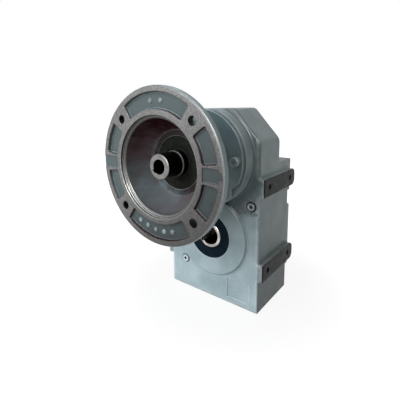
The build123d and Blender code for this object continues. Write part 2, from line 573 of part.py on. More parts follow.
def motor_adapter():
    """Cast bell: motor flange, bowl with the seal and bearing seat in its floor, neck and rear plate."""
    seal_r = INPUT_FRONT_BEARING_OD / 2
    lip_y = FLANGE_FACE + BELL_LIP_DEPTH
    seat_y = FLANGE_FACE + SPIGOT_DEPTH
    floor_edge_y = BELL_FLOOR - BELL_CORNER
    flange_back = FLANGE_FACE + FLANGE_THICKNESS
    middle = ((BELL_LIP_R + BELL_FLOOR_R) / 2 + BELL_BULGE, (lip_y + floor_edge_y) / 2)
    groove = (INPUT_BEARING_BACK, INPUT_BEARING_BACK + CIRCLIP_THICKNESS)
    tube_start = BELL_FLOOR + BELL_FLOOR_THICKNESS
    mouth = Polyline((SPIGOT_R, FLANGE_FACE), (SPIGOT_R, seat_y),
                     (BELL_LIP_R + BELL_LIP_DEPTH - SPIGOT_DEPTH, seat_y), (BELL_LIP_R, lip_y))
    bowl = ThreePointArc((BELL_LIP_R, lip_y), middle, (BELL_FLOOR_R, floor_edge_y))
    groove_r = seal_r + CIRCLIP_DEPTH
    spigot_end = PLATE_BACK + ADAPTER_SPIGOT_LENGTH
    bore = Polyline((BELL_FLOOR_R, floor_edge_y), (BELL_FLOOR_R - BELL_CORNER, BELL_FLOOR),
                    (seal_r, BELL_FLOOR),
                    (seal_r, BELL_FLOOR + SEAL_WIDTH), (seal_r - SEAL_LIP_HEIGHT, BELL_FLOOR + SEAL_WIDTH),
                    (seal_r - SEAL_LIP_HEIGHT, INPUT_BEARING_FRONT), (seal_r, INPUT_BEARING_FRONT),
                    (seal_r, groove[0]), (groove_r, groove[0]), (groove_r, groove[1]),
                    (seal_r, groove[1]), (seal_r, spigot_end))
    spigot_r = ADAPTER_SPIGOT_R - SEAT_FIT
    bell_r = BELL_LIP_R + BELL_WALL
    rim_r = FLANGE_R - FLANGE_EDGE
    outside = Polyline((seal_r, spigot_end), (spigot_r, spigot_end), (spigot_r, PLATE_FRONT),
                       (NECK_TUBE_R, PLATE_FRONT), (NECK_TUBE_R, tube_start),
                       (BELL_FLOOR_R + BELL_WALL, BELL_FLOOR), (bell_r, flange_back + FLANGE_ROOT),
                       (bell_r + FLANGE_ROOT, flange_back), (rim_r, flange_back))
    back_edge = RadiusArc((rim_r, flange_back), (FLANGE_R, flange_back - FLANGE_EDGE), FLANGE_EDGE)
    rim = Line((FLANGE_R, flange_back - FLANGE_EDGE), (FLANGE_R, FLANGE_FACE + FLANGE_EDGE))
    front_edge = RadiusArc((FLANGE_R, FLANGE_FACE + FLANGE_EDGE), (rim_r, FLANGE_FACE), FLANGE_EDGE)
    face = Line((rim_r, FLANGE_FACE), (SPIGOT_R, FLANGE_FACE))
    body = turned(mouth + bowl + bore + outside + back_edge + rim + front_edge + face, INPUT_Z)
    body += slab(Pos(0, INPUT_Z) * (plate_outline() - Circle(seal_r)), PLATE_FRONT, PLATE_BACK)
    for middle_angle in (90, -90):
        body -= sector_pocket(middle_angle - TALL_POCKET_HALF_ANGLE, middle_angle + TALL_POCKET_HALF_ANGLE)
    inner, outer = SIDE_POCKET_ANGLES
    for start, end in ((inner, outer), (-outer, -inner), (180 - outer, 180 - inner),
                       (180 + inner, 180 + outer)):
        body -= sector_pocket(start, end)
    channel_end = FLANGE_FACE + CHANNEL_DEPTH
    right = rect((POCKET_INNER_R, POCKET_OUTER_R), (-CHANNEL_HALF_WIDTH, CHANNEL_HALF_WIDTH))
    right += Pos(POCKET_OUTER_R, 0) * Circle(CHANNEL_NOTCH_R)
    left = rect((-FLANGE_R, -POCKET_INNER_R), (-CHANNEL_HALF_WIDTH, CHANNEL_HALF_WIDTH))
    body -= slab(Pos(0, INPUT_Z) * (right + left), FLANGE_FACE, channel_end)
    for x, z in FLANGE_HOLE_SPOTS:
        body -= disc(FLANGE_HOLE_R, FLANGE_FACE, flange_back, z, x)
    for x, z in ADAPTER_SCREW_SPOTS:
        body -= disc(SCREW_R + SCREW_CLEARANCE, PLATE_FRONT, PLATE_BACK, z, x)
    return body


def adapter_gasket():
    sheet = Pos(0, INPUT_Z) * (plate_outline() - Circle(ADAPTER_SPIGOT_R + SCREW_CLEARANCE))
    for x, z in ADAPTER_SCREW_SPOTS:
        sheet -= Pos(x, z) * Circle(SCREW_R + SCREW_CLEARANCE)
    return slab(sheet, PLATE_BACK, NECK_FACE)


def plug(spot):
    """Hex socket oil plug in a spot-faced hole of the front face."""
    x, z = spot
    seat = CASE_FRONT + PLUG_SPOTFACE_DEPTH - WASHER_THICKNESS
    top = seat - PLUG_HEAD_HEIGHT
    hexagon = Pos(x, z) * RegularPolygon(PLUG_HEX / 2, 6, major_radius=False)
    body = disc(PLUG_R, top, seat, z, x) + disc(PLUG_THREAD_R, seat, CASE_INNER_FRONT, z, x)
    return body - slab(hexagon, top, top + PLUG_HEX_DEPTH)


def plug_washers():
    seat = CASE_FRONT + PLUG_SPOTFACE_DEPTH
    rings = [slab(Pos(*spot) * (Circle(WASHER_R) - Circle(PLUG_THREAD_R + SCREW_CLEARANCE)),
                  seat - WASHER_THICKNESS, seat) for spot in (FILLER_PLUG_SPOT, LEVEL_PLUG_SPOT)]
    return Compound(children=rings)


def seal(outer_r, shaft_r, face, depth, z):
    """Shaft seal: rubber-covered case with a dished face and a lip on the shaft; depth may be negative."""
    outer = outer_r - SEAT_FIT
    lip = shaft_r + RUNNING_FIT
    band = (outer - lip) / SEAL_BANDS
    inward = 1 if depth > 0 else -1
    dish = face + inward * SEAL_DISH
    outline = Polyline((lip, dish), (lip + band, dish),
                       (lip + band + SEAL_DISH, face + inward * SEAL_RIM_SLOPE),
                       (outer - band / 2, face), (outer, face), (outer, face + depth), (lip, face + depth),
                       close=True)
    return turned(outline, z)


def bearing_outer(outer_d, inner_d, y_low, y_high, z):
    """Outer ring of a sealed deep-groove bearing, closed by its two shields."""
    outer = outer_d / 2 - SEAT_FIT
    ring_in, shield_in = bearing_radii(outer_d, inner_d)
    shield = SHIELD_SHARE * (y_high - y_low)
    outline = Polyline((ring_in, y_low), (outer, y_low), (outer, y_high), (ring_in, y_high),
                       (ring_in, y_high - shield / 2), (shield_in, y_high - shield / 2),
                       (shield_in, y_high - 1.5 * shield), (ring_in, y_high - 1.5 * shield),
                       (ring_in, y_low + 1.5 * shield), (shield_in, y_low + 1.5 * shield),
                       (shield_in, y_low + shield / 2), (ring_in, y_low + shield / 2), close=True)
    return turned(outline, z)


def bearing_radii(outer_d, inner_d):
    """Inside of the outer ring, and inside of its shields, which clear the inner ring."""
    section = (outer_d - inner_d) / 2
    ring_in = outer_d / 2 - BEARING_OUTER_SHARE * section
    return ring_in, inner_d / 2 + BEARING_INNER_SHARE * section + RING_GAP


def bearing_inner(outer_d, inner_d, y_low, y_high, z):
    inner = inner_d / 2 + SEAT_FIT
    return tube(inner_d / 2 + BEARING_INNER_SHARE * (outer_d - inner_d) / 2, inner, y_low, y_high, z)


def circlip(outer_r, inner_r, y_low, y_high, z, gap_angle):
    """Open retaining ring with its gap at an angle seen from the motor."""
    half = radians(CIRCLIP_GAP_ANGLE / 2)
    across = 2 * outer_r * cos(half)
    side = 2 * outer_r * sin(half)
    gap = make_face(Polyline((0, 0), (across, -side), (across, side), close=True))
    ring = Circle(outer_r) - Circle(inner_r) - Rot(0, 0, gap_angle) * gap
    return slab(Pos(0, z) * ring, y_low, y_high)


def input_shaft():
    """Input shaft: bored and keyed for the motor, turned for seal and bearings, pinion cut in one piece."""
    journal_r = INPUT_JOURNAL / 2
    root_r = STAGE_1_MODULE * (STAGE_1_PINION_TEETH / 2 - ROOT_DEPTH + PROFILE_SHIFT)
    seal_start = BELL_FLOOR - JOURNAL_IN_BELL
    step = journal_r - SOCKET_OD / 2
    groove = (INPUT_BEARING_FRONT - SHAFT_CIRCLIP_THICKNESS, INPUT_BEARING_FRONT)
    tail_r = INPUT_TAIL / 2
    collar_end = INPUT_BEARING_BACK + INPUT_COLLAR_WIDTH
    chamfered = SOCKET_OD / 2 - END_CHAMFER
    outline = Polyline((0, SOCKET_FACE), (chamfered, SOCKET_FACE),
                       (SOCKET_OD / 2, SOCKET_FACE + END_CHAMFER),
                       (SOCKET_OD / 2, seal_start), (journal_r, seal_start + step), (journal_r, groove[0]),
                       (journal_r - SHAFT_CIRCLIP_DEPTH, groove[0]),
                       (journal_r - SHAFT_CIRCLIP_DEPTH, groove[1]),
                       (journal_r, groove[1]), (journal_r, INPUT_BEARING_BACK),
                       (INPUT_COLLAR / 2, INPUT_BEARING_BACK), (INPUT_COLLAR / 2, collar_end),
                       (INPUT_STEM / 2, collar_end), (INPUT_STEM / 2, STAGE_1_PINION_Y[0]),
                       (root_r, STAGE_1_PINION_Y[0]), (root_r, INPUT_REAR_BEARING[0]),
                       (tail_r, INPUT_REAR_BEARING[0]), (tail_r, INPUT_REAR_BEARING[1] - END_CHAMFER),
                       (0, INPUT_REAR_BEARING[1] - END_CHAMFER), close=True)
    body = turned(outline, INPUT_Z)
    pinion_tooth = -90 + 180 / STAGE_1_PINION_TEETH
    body += gear(STAGE_1_PINION_TEETH, STAGE_1_MODULE, PROFILE_SHIFT, pinion_tooth,
                 STAGE_1_PINION_Y, INPUT_Z)
    body -= disc(MOTOR_BORE / 2, SOCKET_FACE, SOCKET_FACE + MOTOR_BORE_DEPTH, INPUT_Z)
    body -= keyway(MOTOR_KEYWAY_WIDTH, MOTOR_BORE / 2 + MOTOR_KEYWAY_DEPTH, MOTOR_KEYWAY_ANGLE,
                   SOCKET_FACE, SOCKET_FACE + MOTOR_BORE_DEPTH, INPUT_Z)
    return body


def countershaft():
    """Countershaft with the second-stage pinion cut in one piece."""
    journal_r = COUNTER_JOURNAL / 2
    collar_r = COUNTER_COLLAR / 2
    seat_r = COUNTER_WHEEL_SEAT / 2
    outline = Polyline((0, COUNTER_FRONT + END_CHAMFER), (journal_r, COUNTER_FRONT + END_CHAMFER),
                       (journal_r, COUNTER_BEARING_BACK), (collar_r, COUNTER_BEARING_BACK),
                       (collar_r, COUNTER_HUB_Y[0]), (seat_r, COUNTER_HUB_Y[0]),
                       (seat_r, STAGE_2_PINION_Y[1]),
                       (collar_r, STAGE_2_PINION_Y[1]), (collar_r, COUNTER_REAR_BEARING),
                       (journal_r, COUNTER_REAR_BEARING), (journal_r, COUNTER_REAR - END_CHAMFER),
                       (0, COUNTER_REAR - END_CHAMFER), close=True)
    body = turned(outline, COUNTER_Z)
    pinion_tooth = -90 + 180 / STAGE_2_PINION_TEETH
    body += gear(STAGE_2_PINION_TEETH, STAGE_2_MODULE, PROFILE_SHIFT, pinion_tooth,
                 STAGE_2_PINION_Y, COUNTER_Z)
    return body - countershaft_key()


def countershaft_key():
    """Key centred in the wheel's hub and half sunk in the shaft."""
    middle = (COUNTER_HUB_Y[0] + COUNTER_HUB_Y[1]) / 2
    half = COUNTER_KEY_LENGTH / 2
    low = COUNTER_WHEEL_SEAT / 2 - COUNTER_KEY_HEIGHT / 2
    return box((-COUNTER_KEY_WIDTH / 2, COUNTER_KEY_WIDTH / 2), (middle - half, middle + half),
               (COUNTER_Z + low, COUNTER_Z + low + COUNTER_KEY_HEIGHT))


def countershaft_wheel():
    body = gear(STAGE_1_WHEEL_TEETH, STAGE_1_MODULE, -PROFILE_SHIFT, 90, STAGE_1_WHEEL_Y, COUNTER_Z)
    body += disc(COUNTER_WHEEL_SEAT / 2 + COUNTER_HUB_WALL, *COUNTER_HUB_Y, COUNTER_Z)
    body -= disc(COUNTER_WHEEL_SEAT / 2 + SEAT_FIT, *COUNTER_HUB_Y, COUNTER_Z)
    return body - key_slot(COUNTER_KEY_WIDTH, COUNTER_WHEEL_SEAT, COUNTER_KEY_HEIGHT,
                           COUNTER_HUB_Y, COUNTER_Z)


def key_slot(width, seat_d, height, span, z):
    """Keyway broached through a hub, above the shaft."""
    top = seat_d / 2 + height / 2 + KEY_TOP_CLEARANCE
    return box((-width / 2, width / 2), span, (z, z + top))


def output_shaft():
    """Hollow output shaft, bored and keyed right through, with a seat for the wheel."""
    journal_r = OUTPUT_JOURNAL / 2
    bore_r = OUTPUT_BORE / 2
    seat_r = OUTPUT_WHEEL_SEAT / 2
    edge = END_CHAMFER
    outline = Polyline((bore_r + edge, -OUTPUT_HALF), (journal_r - edge, -OUTPUT_HALF),
                       (journal_r, edge - OUTPUT_HALF), (journal_r, OUTPUT_BEARING_END),
                       (OUTPUT_SHOULDER / 2, OUTPUT_BEARING_END), (OUTPUT_SHOULDER / 2, OUTPUT_HUB_Y[0]),
                       (seat_r, OUTPUT_HUB_Y[0]), (seat_r, OUTPUT_HUB_Y[1]), (journal_r, OUTPUT_HUB_Y[1]),
                       (journal_r, OUTPUT_HALF - edge), (journal_r - edge, OUTPUT_HALF),
                       (bore_r + edge, OUTPUT_HALF), (bore_r, OUTPUT_HALF - edge),
                       (bore_r, edge - OUTPUT_HALF),
                       close=True)
    body = turned(outline)
    body -= keyway(OUTPUT_KEYWAY_WIDTH, bore_r + OUTPUT_KEYWAY_DEPTH, OUTPUT_KEYWAY_ANGLE,
                   -OUTPUT_HALF, OUTPUT_HALF)
    return body - output_key()


def output_key():
    middle = (OUTPUT_HUB_Y[0] + OUTPUT_HUB_Y[1]) / 2
    half = OUTPUT_KEY_LENGTH / 2
    low = OUTPUT_WHEEL_SEAT / 2 - OUTPUT_KEY_HEIGHT / 2
    return box((-OUTPUT_KEY_WIDTH / 2, OUTPUT_KEY_WIDTH / 2), (middle - half, middle + half),
               (low, low + OUTPUT_KEY_HEIGHT))


def output_wheel():
    """Output wheel with a recessed web on both sides and a long hub."""
    body = gear(STAGE_2_WHEEL_TEETH, STAGE_2_MODULE, -PROFILE_SHIFT, 90, STAGE_2_WHEEL_Y, 0)
    hub_r = OUTPUT_WHEEL_SEAT / 2 + WHEEL_HUB_WALL
    rim_r = STAGE_2_MODULE * (STAGE_2_WHEEL_TEETH / 2 - WHEEL_RIM_MODULES)
    body -= tube(rim_r, hub_r, STAGE_2_WHEEL_Y[0], STAGE_2_WHEEL_Y[0] + WHEEL_RECESS)
    body -= tube(rim_r, hub_r, STAGE_2_WHEEL_Y[1] - WHEEL_RECESS, STAGE_2_WHEEL_Y[1])
    body += disc(hub_r, *OUTPUT_HUB_Y)
    body -= disc(OUTPUT_WHEEL_SEAT / 2 + SEAT_FIT, *OUTPUT_HUB_Y)
    return body - key_slot(OUTPUT_KEY_WIDTH, OUTPUT_WHEEL_SEAT, OUTPUT_KEY_HEIGHT, OUTPUT_HUB_Y, 0)


DOWEL_START = CASE_REAR + GASKET_THICKNESS - DOWEL_LENGTH / 2
DOWEL_END = DOWEL_START + DOWEL_LENGTH - DOWEL_TOP_CLEARANCE
OUTPUT_BEARING = (OUTPUT_BEARING_OD, OUTPUT_JOURNAL)
COUNTER_BEARING = (COUNTER_BEARING_OD, COUNTER_JOURNAL)
INPUT_FRONT_BEARING = (INPUT_FRONT_BEARING_OD, INPUT_JOURNAL)
INPUT_TAIL_BEARING = (INPUT_REAR_BEARING_OD, INPUT_TAIL)
BEARINGS = {
    "output_front": (OUTPUT_BEARING, (SEAL_BACK, OUTPUT_BEARING_END), 0),
    "output_rear": (OUTPUT_BEARING, (-OUTPUT_BEARING_END, -SEAL_BACK), 0),
    "countershaft_front": (COUNTER_BEARING, (COUNTER_FRONT, COUNTER_BEARING_BACK), COUNTER_Z),
    "countershaft_rear": (COUNTER_BEARING, (COUNTER_REAR_BEARING, COUNTER_REAR), COUNTER_Z),
    "input_front": (INPUT_FRONT_BEARING, (INPUT_BEARING_FRONT, INPUT_BEARING_BACK), INPUT_Z),
    "input_rear": (INPUT_TAIL_BEARING, INPUT_REAR_BEARING, INPUT_Z),
}

parts = {
    "gear_case": gear_case(),
    "rear_cover": rear_cover(),
    "rear_cover_gasket": rear_cover_gasket(),
    "rear_cover_screws": Compound(children=[socket_screw(x, z, COVER_FACE, COVER_THICKNESS, 180)
                                            for x, z in COVER_SCREW_SPOTS]),
    "locating_pins": Compound(children=[disc(DOWEL_R - SEAT_FIT, DOWEL_START, DOWEL_END, z, x)
                                        for x, z in DOWEL_SPOTS]),
    "motor_adapter": motor_adapter(),
    "adapter_gasket": adapter_gasket(),
    "adapter_screws": Compound(children=[socket_screw(x, z, PLATE_FRONT, PLATE_THICKNESS, 0)
                                         for x, z in ADAPTER_SCREW_SPOTS]),
    "filler_plug": plug(FILLER_PLUG_SPOT),
    "level_plug": plug(LEVEL_PLUG_SPOT),
    "plug_washers": plug_washers(),
    "output_front_seal": seal(OUTPUT_SEAL_OD / 2, OUTPUT_JOURNAL / 2, BOSS_FACE, SEAL_WIDTH, 0),
    "output_rear_seal": seal(OUTPUT_SEAL_OD / 2, OUTPUT_JOURNAL / 2, COVER_BOSS_FACE, -SEAL_WIDTH, 0),
    "input_seal": seal(INPUT_FRONT_BEARING_OD / 2, INPUT_JOURNAL / 2, BELL_FLOOR, SEAL_WIDTH, INPUT_Z),
    "adapter_circlip": circlip(INPUT_FRONT_BEARING_OD / 2 + CIRCLIP_DEPTH - SEAT_FIT,
                               INPUT_FRONT_BEARING_OD / 2 + CIRCLIP_DEPTH - CIRCLIP_HEIGHT,
                               INPUT_BEARING_BACK, INPUT_BEARING_BACK + CIRCLIP_THICKNESS, INPUT_Z, -90),
    "input_circlip": circlip(INPUT_JOURNAL / 2 - SHAFT_CIRCLIP_DEPTH + SHAFT_CIRCLIP_HEIGHT,
                             INPUT_JOURNAL / 2 - SHAFT_CIRCLIP_DEPTH + SEAT_FIT,
                             INPUT_BEARING_FRONT - SHAFT_CIRCLIP_THICKNESS, INPUT_BEARING_FRONT,
                             INPUT_Z, 90),
    "input_shaft": input_shaft(),
    "countershaft": countershaft(),
    "countershaft_wheel": countershaft_wheel(),
    "countershaft_key": countershaft_key(),
    "countershaft_spacer": tube(SPACER_OD / 2, COUNTER_COLLAR / 2 + SEAT_FIT, COUNTER_BEARING_BACK,
                                COUNTER_HUB_Y[0], COUNTER_Z),
    "output_shaft": output_shaft(),
    "output_wheel": output_wheel(),
    "output_key": output_key(),
}
for name, (sizes, span, height) in BEARINGS.items():
    parts[name + "_bearing_outer"] = bearing_outer(*sizes, *span, height)
    parts[name + "_bearing_inner"] = bearing_inner(*sizes, *span, height)

os.makedirs("parts", exist_ok=True)
for name, part in parts.items():
    export_step(part, "parts/" + name + ".step")
    print(name, round(part.volume / 1000, 2), "cm3")
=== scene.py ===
import math

import bpy
from mathutils import Matrix, Vector


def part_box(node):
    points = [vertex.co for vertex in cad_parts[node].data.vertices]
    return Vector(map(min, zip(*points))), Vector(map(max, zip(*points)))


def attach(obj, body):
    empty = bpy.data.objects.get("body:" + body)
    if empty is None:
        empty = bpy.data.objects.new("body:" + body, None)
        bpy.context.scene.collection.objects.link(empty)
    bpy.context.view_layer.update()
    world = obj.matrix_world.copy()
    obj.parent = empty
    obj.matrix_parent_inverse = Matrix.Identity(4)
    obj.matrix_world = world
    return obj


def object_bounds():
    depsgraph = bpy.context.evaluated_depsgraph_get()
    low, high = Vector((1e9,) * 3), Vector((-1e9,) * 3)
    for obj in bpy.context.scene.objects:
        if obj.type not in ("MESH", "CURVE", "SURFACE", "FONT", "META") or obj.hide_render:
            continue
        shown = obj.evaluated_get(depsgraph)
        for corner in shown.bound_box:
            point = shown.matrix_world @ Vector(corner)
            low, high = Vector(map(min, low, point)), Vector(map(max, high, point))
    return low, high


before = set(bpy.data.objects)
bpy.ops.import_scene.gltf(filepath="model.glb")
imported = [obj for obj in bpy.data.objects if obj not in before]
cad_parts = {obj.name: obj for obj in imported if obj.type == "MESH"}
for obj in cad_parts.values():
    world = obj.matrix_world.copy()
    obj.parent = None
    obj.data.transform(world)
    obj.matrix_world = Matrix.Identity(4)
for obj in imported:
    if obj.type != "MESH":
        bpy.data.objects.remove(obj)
cad_low, cad_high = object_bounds()
bpy.context.scene.view_settings.view_transform = "Standard"


# Gear casing: one grey iron sand casting, blasted and sprayed with pale blue-grey enamel before machining.
# Its four side pads are milled and tapped afterwards; the bare iron there is dark with oil and painted darker
# still as a reflection of dark surroundings, and the tapped holes are painted black as shade.
# The satin enamel follows the fine sand grain, and is thinner and paler along the edges, which also carry a
# painted highlight.
ENAMEL_PALE = "#ACB9B9"
ENAMEL_DEEP = "#94A4A4"
ENAMEL_EDGE_WEAR_AND_HIGHLIGHT = "#EDF1F0"
ENAMEL_GRIME_AND_SHADE = "#37454A"
# Painted shade, and the darkening at the flange's lower right, mix towards this dark colour.
SHADE_DARK = "#181816"
# Painted reflection: the milled pads are near black, dark with oil and darker for the dark surroundings they
# reflect.
MILLED_PAD_OIL_AND_REFLECTION = "#0A0D0F"
MILLED_PAD_WORN_OIL_AND_REFLECTION = "#15191C"
HOLE_SHADE_BLACK = "#060707"
CLOUD_SIZE = 38.0
SWELL_SIZE = 9.0
SAND_GRAIN = 1.3
FACED_SPECK = 1.4
SWELL_HEIGHT = 0.25
SAND_HEIGHT = 0.1
GRIME_AND_SHADE_REACH = 6.0
EDGE_ROUNDING = 1.8
CORNER_ROUNDING = 9.0
CORNER_FROM = 74.5
CORNER_BAND = 6.0
CASE_FRONT = -55.0
CASE_FOOT = -106.0
NECK_Z = 125.0
NECK_FLARE = 4.0
NECK_SHADOW = (84.0, 108.0)
NECK_SHADOW_DRIFT = 6.0
NECK_SHADOW_MOST = 0.6
SIDE_FROM = 80.2
SIDE_SHADE = (90.0, -90.0)
SIDE_SHADE_DRIFT = 30.0
SIDE_SHADE_MOST = 0.62
PAD_TOLERANCE = 0.3
PAD_SIDE_FROM = 60.0
UPPER_PAD_Z = 85.0
LOWER_PAD_Z = -40.0
PAD_HOLE_HALF_PITCH = 36.0
PAD_HOLE_RADIUS = 4.25
PAD_HOLE_MARGIN = 2.0
PAINT_SPECULAR = 0.25
COVERED_SPECULAR = 0.06
output_z = 0.0
pad_face_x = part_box("gear_case")[1].x


def mm(length):
    """Millimetres to the scene's metres."""
    return length / 1000.0


def per_mm(size):
    """Noise scale that gives features of a real size in millimetres."""
    return 1000.0 / size


def linear(hex_colour):
    """An sRGB hex colour as linear red, green, blue and alpha."""
    channels = [int(hex_colour[i:i + 2], 16) / 255 for i in (1, 3, 5)]
    return [c / 12.92 if c <= 0.04045 else ((c + 0.055) / 1.055) ** 2.4 for c in channels] + [1.0]


def new_material(name):
    """A material without any nodes."""
    material = bpy.data.materials.new(name)
    material.use_nodes = True
    material.node_tree.nodes.clear()
    return material


def add_node(material, kind, inputs=None, out=0, **settings):
    """Adds one node with its settings, links the inputs given as sockets, and returns one of its outputs."""
    node = material.node_tree.nodes.new(kind)
    for name, value in settings.items():
        setattr(node, name, value)
    for socket, value in (inputs or {}).items():
        if isinstance(value, bpy.types.NodeSocket):
            material.node_tree.links.new(value, node.inputs[socket])
        else:
            node.inputs[socket].default_value = value
    return node.outputs[out] if node.outputs else None


def finish_surface(material, colour, roughness, metallic, normal, specular=0.5):
    """Principled shader and output of a material."""
    shader = add_node(material, "ShaderNodeBsdfPrincipled", {
        "Base Color": colour, "Roughness": roughness, "Metallic": metallic, "Normal": normal,
        "Specular IOR Level": specular})
    add_node(material, "ShaderNodeOutputMaterial", {"Surface": shader})


def sharp_edges(material, rounded):
    """From 0 on flat ground to 1 on an edge, where the rounded normal leaves the true one."""
    flat = add_node(material, "ShaderNodeNewGeometry", out="Normal")
    turn = add_node(material, "ShaderNodeVectorMath", {0: rounded, 1: flat}, out="Value",
                    operation="DOT_PRODUCT")
    return add_node(material, "ShaderNodeMapRange", {"Value": turn, "From Min": 0.999, "From Max": 0.86})


def radius_about(material, here, axis_z, axis_x=0.0):
    """Distance from an axis that runs along Y."""
    centred = add_node(material, "ShaderNodeVectorMath", {0: here, 1: (axis_x, 0.0, axis_z)},
                       operation="SUBTRACT")
    across = add_node(material, "ShaderNodeVectorMath", {0: centred, 1: (1.0, 0.0, 1.0)},
                      operation="MULTIPLY")
    return add_node(material, "ShaderNodeVectorMath", {0: across}, out="Value", operation="LENGTH")


def wandering(material, level, patches, drift):
    """A level that rises and falls with the patches, by up to a length in millimetres."""
    wander = add_node(material, "ShaderNodeMapRange", {
        "Value": patches, "To Min": -mm(drift), "To Max": mm(drift)})
    return add_node(material, "ShaderNodeMath", {0: level, 1: wander}, operation="ADD")


def cast_enamel(name, bare_mask, pale, deep, bare, bare_metal=0.6, tint=None, rust=None, darkening=None,
                bare_specular=0.25, corners=None):
    """Enamel over a sand casting, its edges paler with wear and painted highlight, its hollows darker with
    grime and painted shade. Masks say where it is machined bare, darkened, or rounded more widely.
    """
    material = new_material(name)
    here = add_node(material, "ShaderNodeTexCoord", out="Object")
    cloud = add_node(material, "ShaderNodeTexNoise",
                     {"Vector": here, "Scale": per_mm(CLOUD_SIZE), "Detail": 4.0})
    swell = add_node(material, "ShaderNodeTexNoise",
                     {"Vector": here, "Scale": per_mm(SWELL_SIZE), "Detail": 2.0})
    sand = add_node(material, "ShaderNodeTexNoise",
                    {"Vector": here, "Scale": per_mm(SAND_GRAIN), "Detail": 3.0})
    speck = add_node(material, "ShaderNodeTexNoise",
                     {"Vector": here, "Scale": per_mm(FACED_SPECK), "Detail": 4.0})
    rounded = add_node(material, "ShaderNodeBevel", {"Radius": mm(EDGE_ROUNDING)}, samples=6)
    shade = add_node(material, "ShaderNodeAmbientOcclusion", {"Distance": mm(GRIME_AND_SHADE_REACH)}, out="AO",
                     samples=6)
    if corners:
        wide = add_node(material, "ShaderNodeBevel", {"Radius": mm(CORNER_ROUNDING)}, samples=8)
        rounded = add_node(material, "ShaderNodeMix", {0: corners(material, here), 4: rounded, 5: wide},
                           out=1, data_type="VECTOR")
    edge = sharp_edges(material, rounded)
    masked = bare_mask(material, here)
    drift = add_node(material, "ShaderNodeMapRange", {"Value": cloud, "From Min": 0.35, "From Max": 0.65})
    paint = add_node(material, "ShaderNodeMix", {0: drift, 6: linear(deep), 7: linear(pale)}, out=2,
                     data_type="RGBA")
    fleck = add_node(material, "ShaderNodeMapRange", {
        "Value": speck, "From Min": 0.3, "From Max": 0.7, "To Min": 0.9, "To Max": 1.1})
    paint = add_node(material, "ShaderNodeVectorMath", {0: paint, "Scale": fleck}, operation="SCALE")
    covered = 0.0
    if tint:
        paint, covered = tint(material, here, paint)
    # Wear and painted highlight: the edges turn paler, less so where the paint is covered.
    patchy = add_node(material, "ShaderNodeMapRange", {
        "Value": swell, "From Min": 0.35, "From Max": 0.6, "To Min": 0.45, "To Max": 1.0})
    worn_and_lit = add_node(material, "ShaderNodeMath", {0: edge, 1: patchy}, operation="MULTIPLY")
    keep = add_node(material, "ShaderNodeMapRange", {"Value": covered, "To Min": 1.0, "To Max": 0.25})
    worn_and_lit = add_node(material, "ShaderNodeMath", {0: worn_and_lit, 1: keep}, operation="MULTIPLY")
    paint = add_node(material, "ShaderNodeMix", {0: worn_and_lit, 6: paint, 7: linear(ENAMEL_EDGE_WEAR_AND_HIGHLIGHT)}, out=2,
                     data_type="RGBA")
    # Grime and painted shade: darker where nearby surfaces hem the surface in.
    hollow_grime_and_shade = add_node(material, "ShaderNodeMapRange", {
        "Value": shade, "From Min": 0.9, "From Max": 0.35, "To Min": 0.0, "To Max": 0.7})
    paint = add_node(material, "ShaderNodeMix", {0: hollow_grime_and_shade, 6: paint, 7: linear(ENAMEL_GRIME_AND_SHADE)}, out=2,
                     data_type="RGBA")
    grain = add_node(material, "ShaderNodeMapRange", {"Value": speck, "From Min": 0.32, "From Max": 0.68})
    metal = add_node(material, "ShaderNodeMix", {0: grain, 6: linear(bare[0]), 7: linear(bare[1])}, out=2,
                     data_type="RGBA")
    if rust:
        lined = add_node(material, "ShaderNodeMapRange", {
            "Value": cloud, "From Min": 0.35, "From Max": 0.6, "To Min": 0.55, "To Max": 1.0})
        line = add_node(material, "ShaderNodeMath", {0: edge, 1: lined}, operation="MULTIPLY")
        metal = add_node(material, "ShaderNodeMix", {0: line, 6: metal, 7: rust(material, here)}, out=2,
                         data_type="RGBA")
    colour = add_node(material, "ShaderNodeMix", {0: masked, 6: paint, 7: metal}, out=2, data_type="RGBA")
    if darkening:
        colour = add_node(material, "ShaderNodeMix",
                          {0: darkening(material, here, swell), 6: colour, 7: linear(SHADE_DARK)},
                          out=2, data_type="RGBA")
    roughness = add_node(material, "ShaderNodeMapRange", {
        "Value": swell, "From Min": 0.3, "From Max": 0.7, "To Min": 0.36, "To Max": 0.5})
    metallic = add_node(material, "ShaderNodeMath", {0: masked, 1: bare_metal}, operation="MULTIPLY")
    depth = add_node(material, "ShaderNodeMapRange", {"Value": masked, "To Min": 1.0, "To Max": 0.35})
    low = add_node(material, "ShaderNodeBump", {
        "Height": swell, "Distance": mm(SWELL_HEIGHT), "Strength": depth, "Normal": rounded})
    fine = add_node(material, "ShaderNodeBump", {
        "Height": sand, "Distance": mm(SAND_HEIGHT), "Strength": depth, "Normal": low})
    gloss = add_node(material, "ShaderNodeMapRange", {
        "Value": covered, "To Min": PAINT_SPECULAR, "To Max": COVERED_SPECULAR})
    shine = add_node(material, "ShaderNodeMapRange",
                     {"Value": masked, "To Min": gloss, "To Max": bare_specular})
    finish_surface(material, colour, roughness, metallic, fine, shine)
    return material


def milled_pads(material, here):
    """The flat outer faces of the side pads."""
    size = add_node(material, "ShaderNodeVectorMath", {0: here}, operation="ABSOLUTE")
    out = add_node(material, "ShaderNodeSeparateXYZ", {"Vector": size}, out="X")
    return add_node(material, "ShaderNodeMath", {0: out, 1: pad_face_x - mm(PAD_TOLERANCE)},
                    operation="GREATER_THAN")


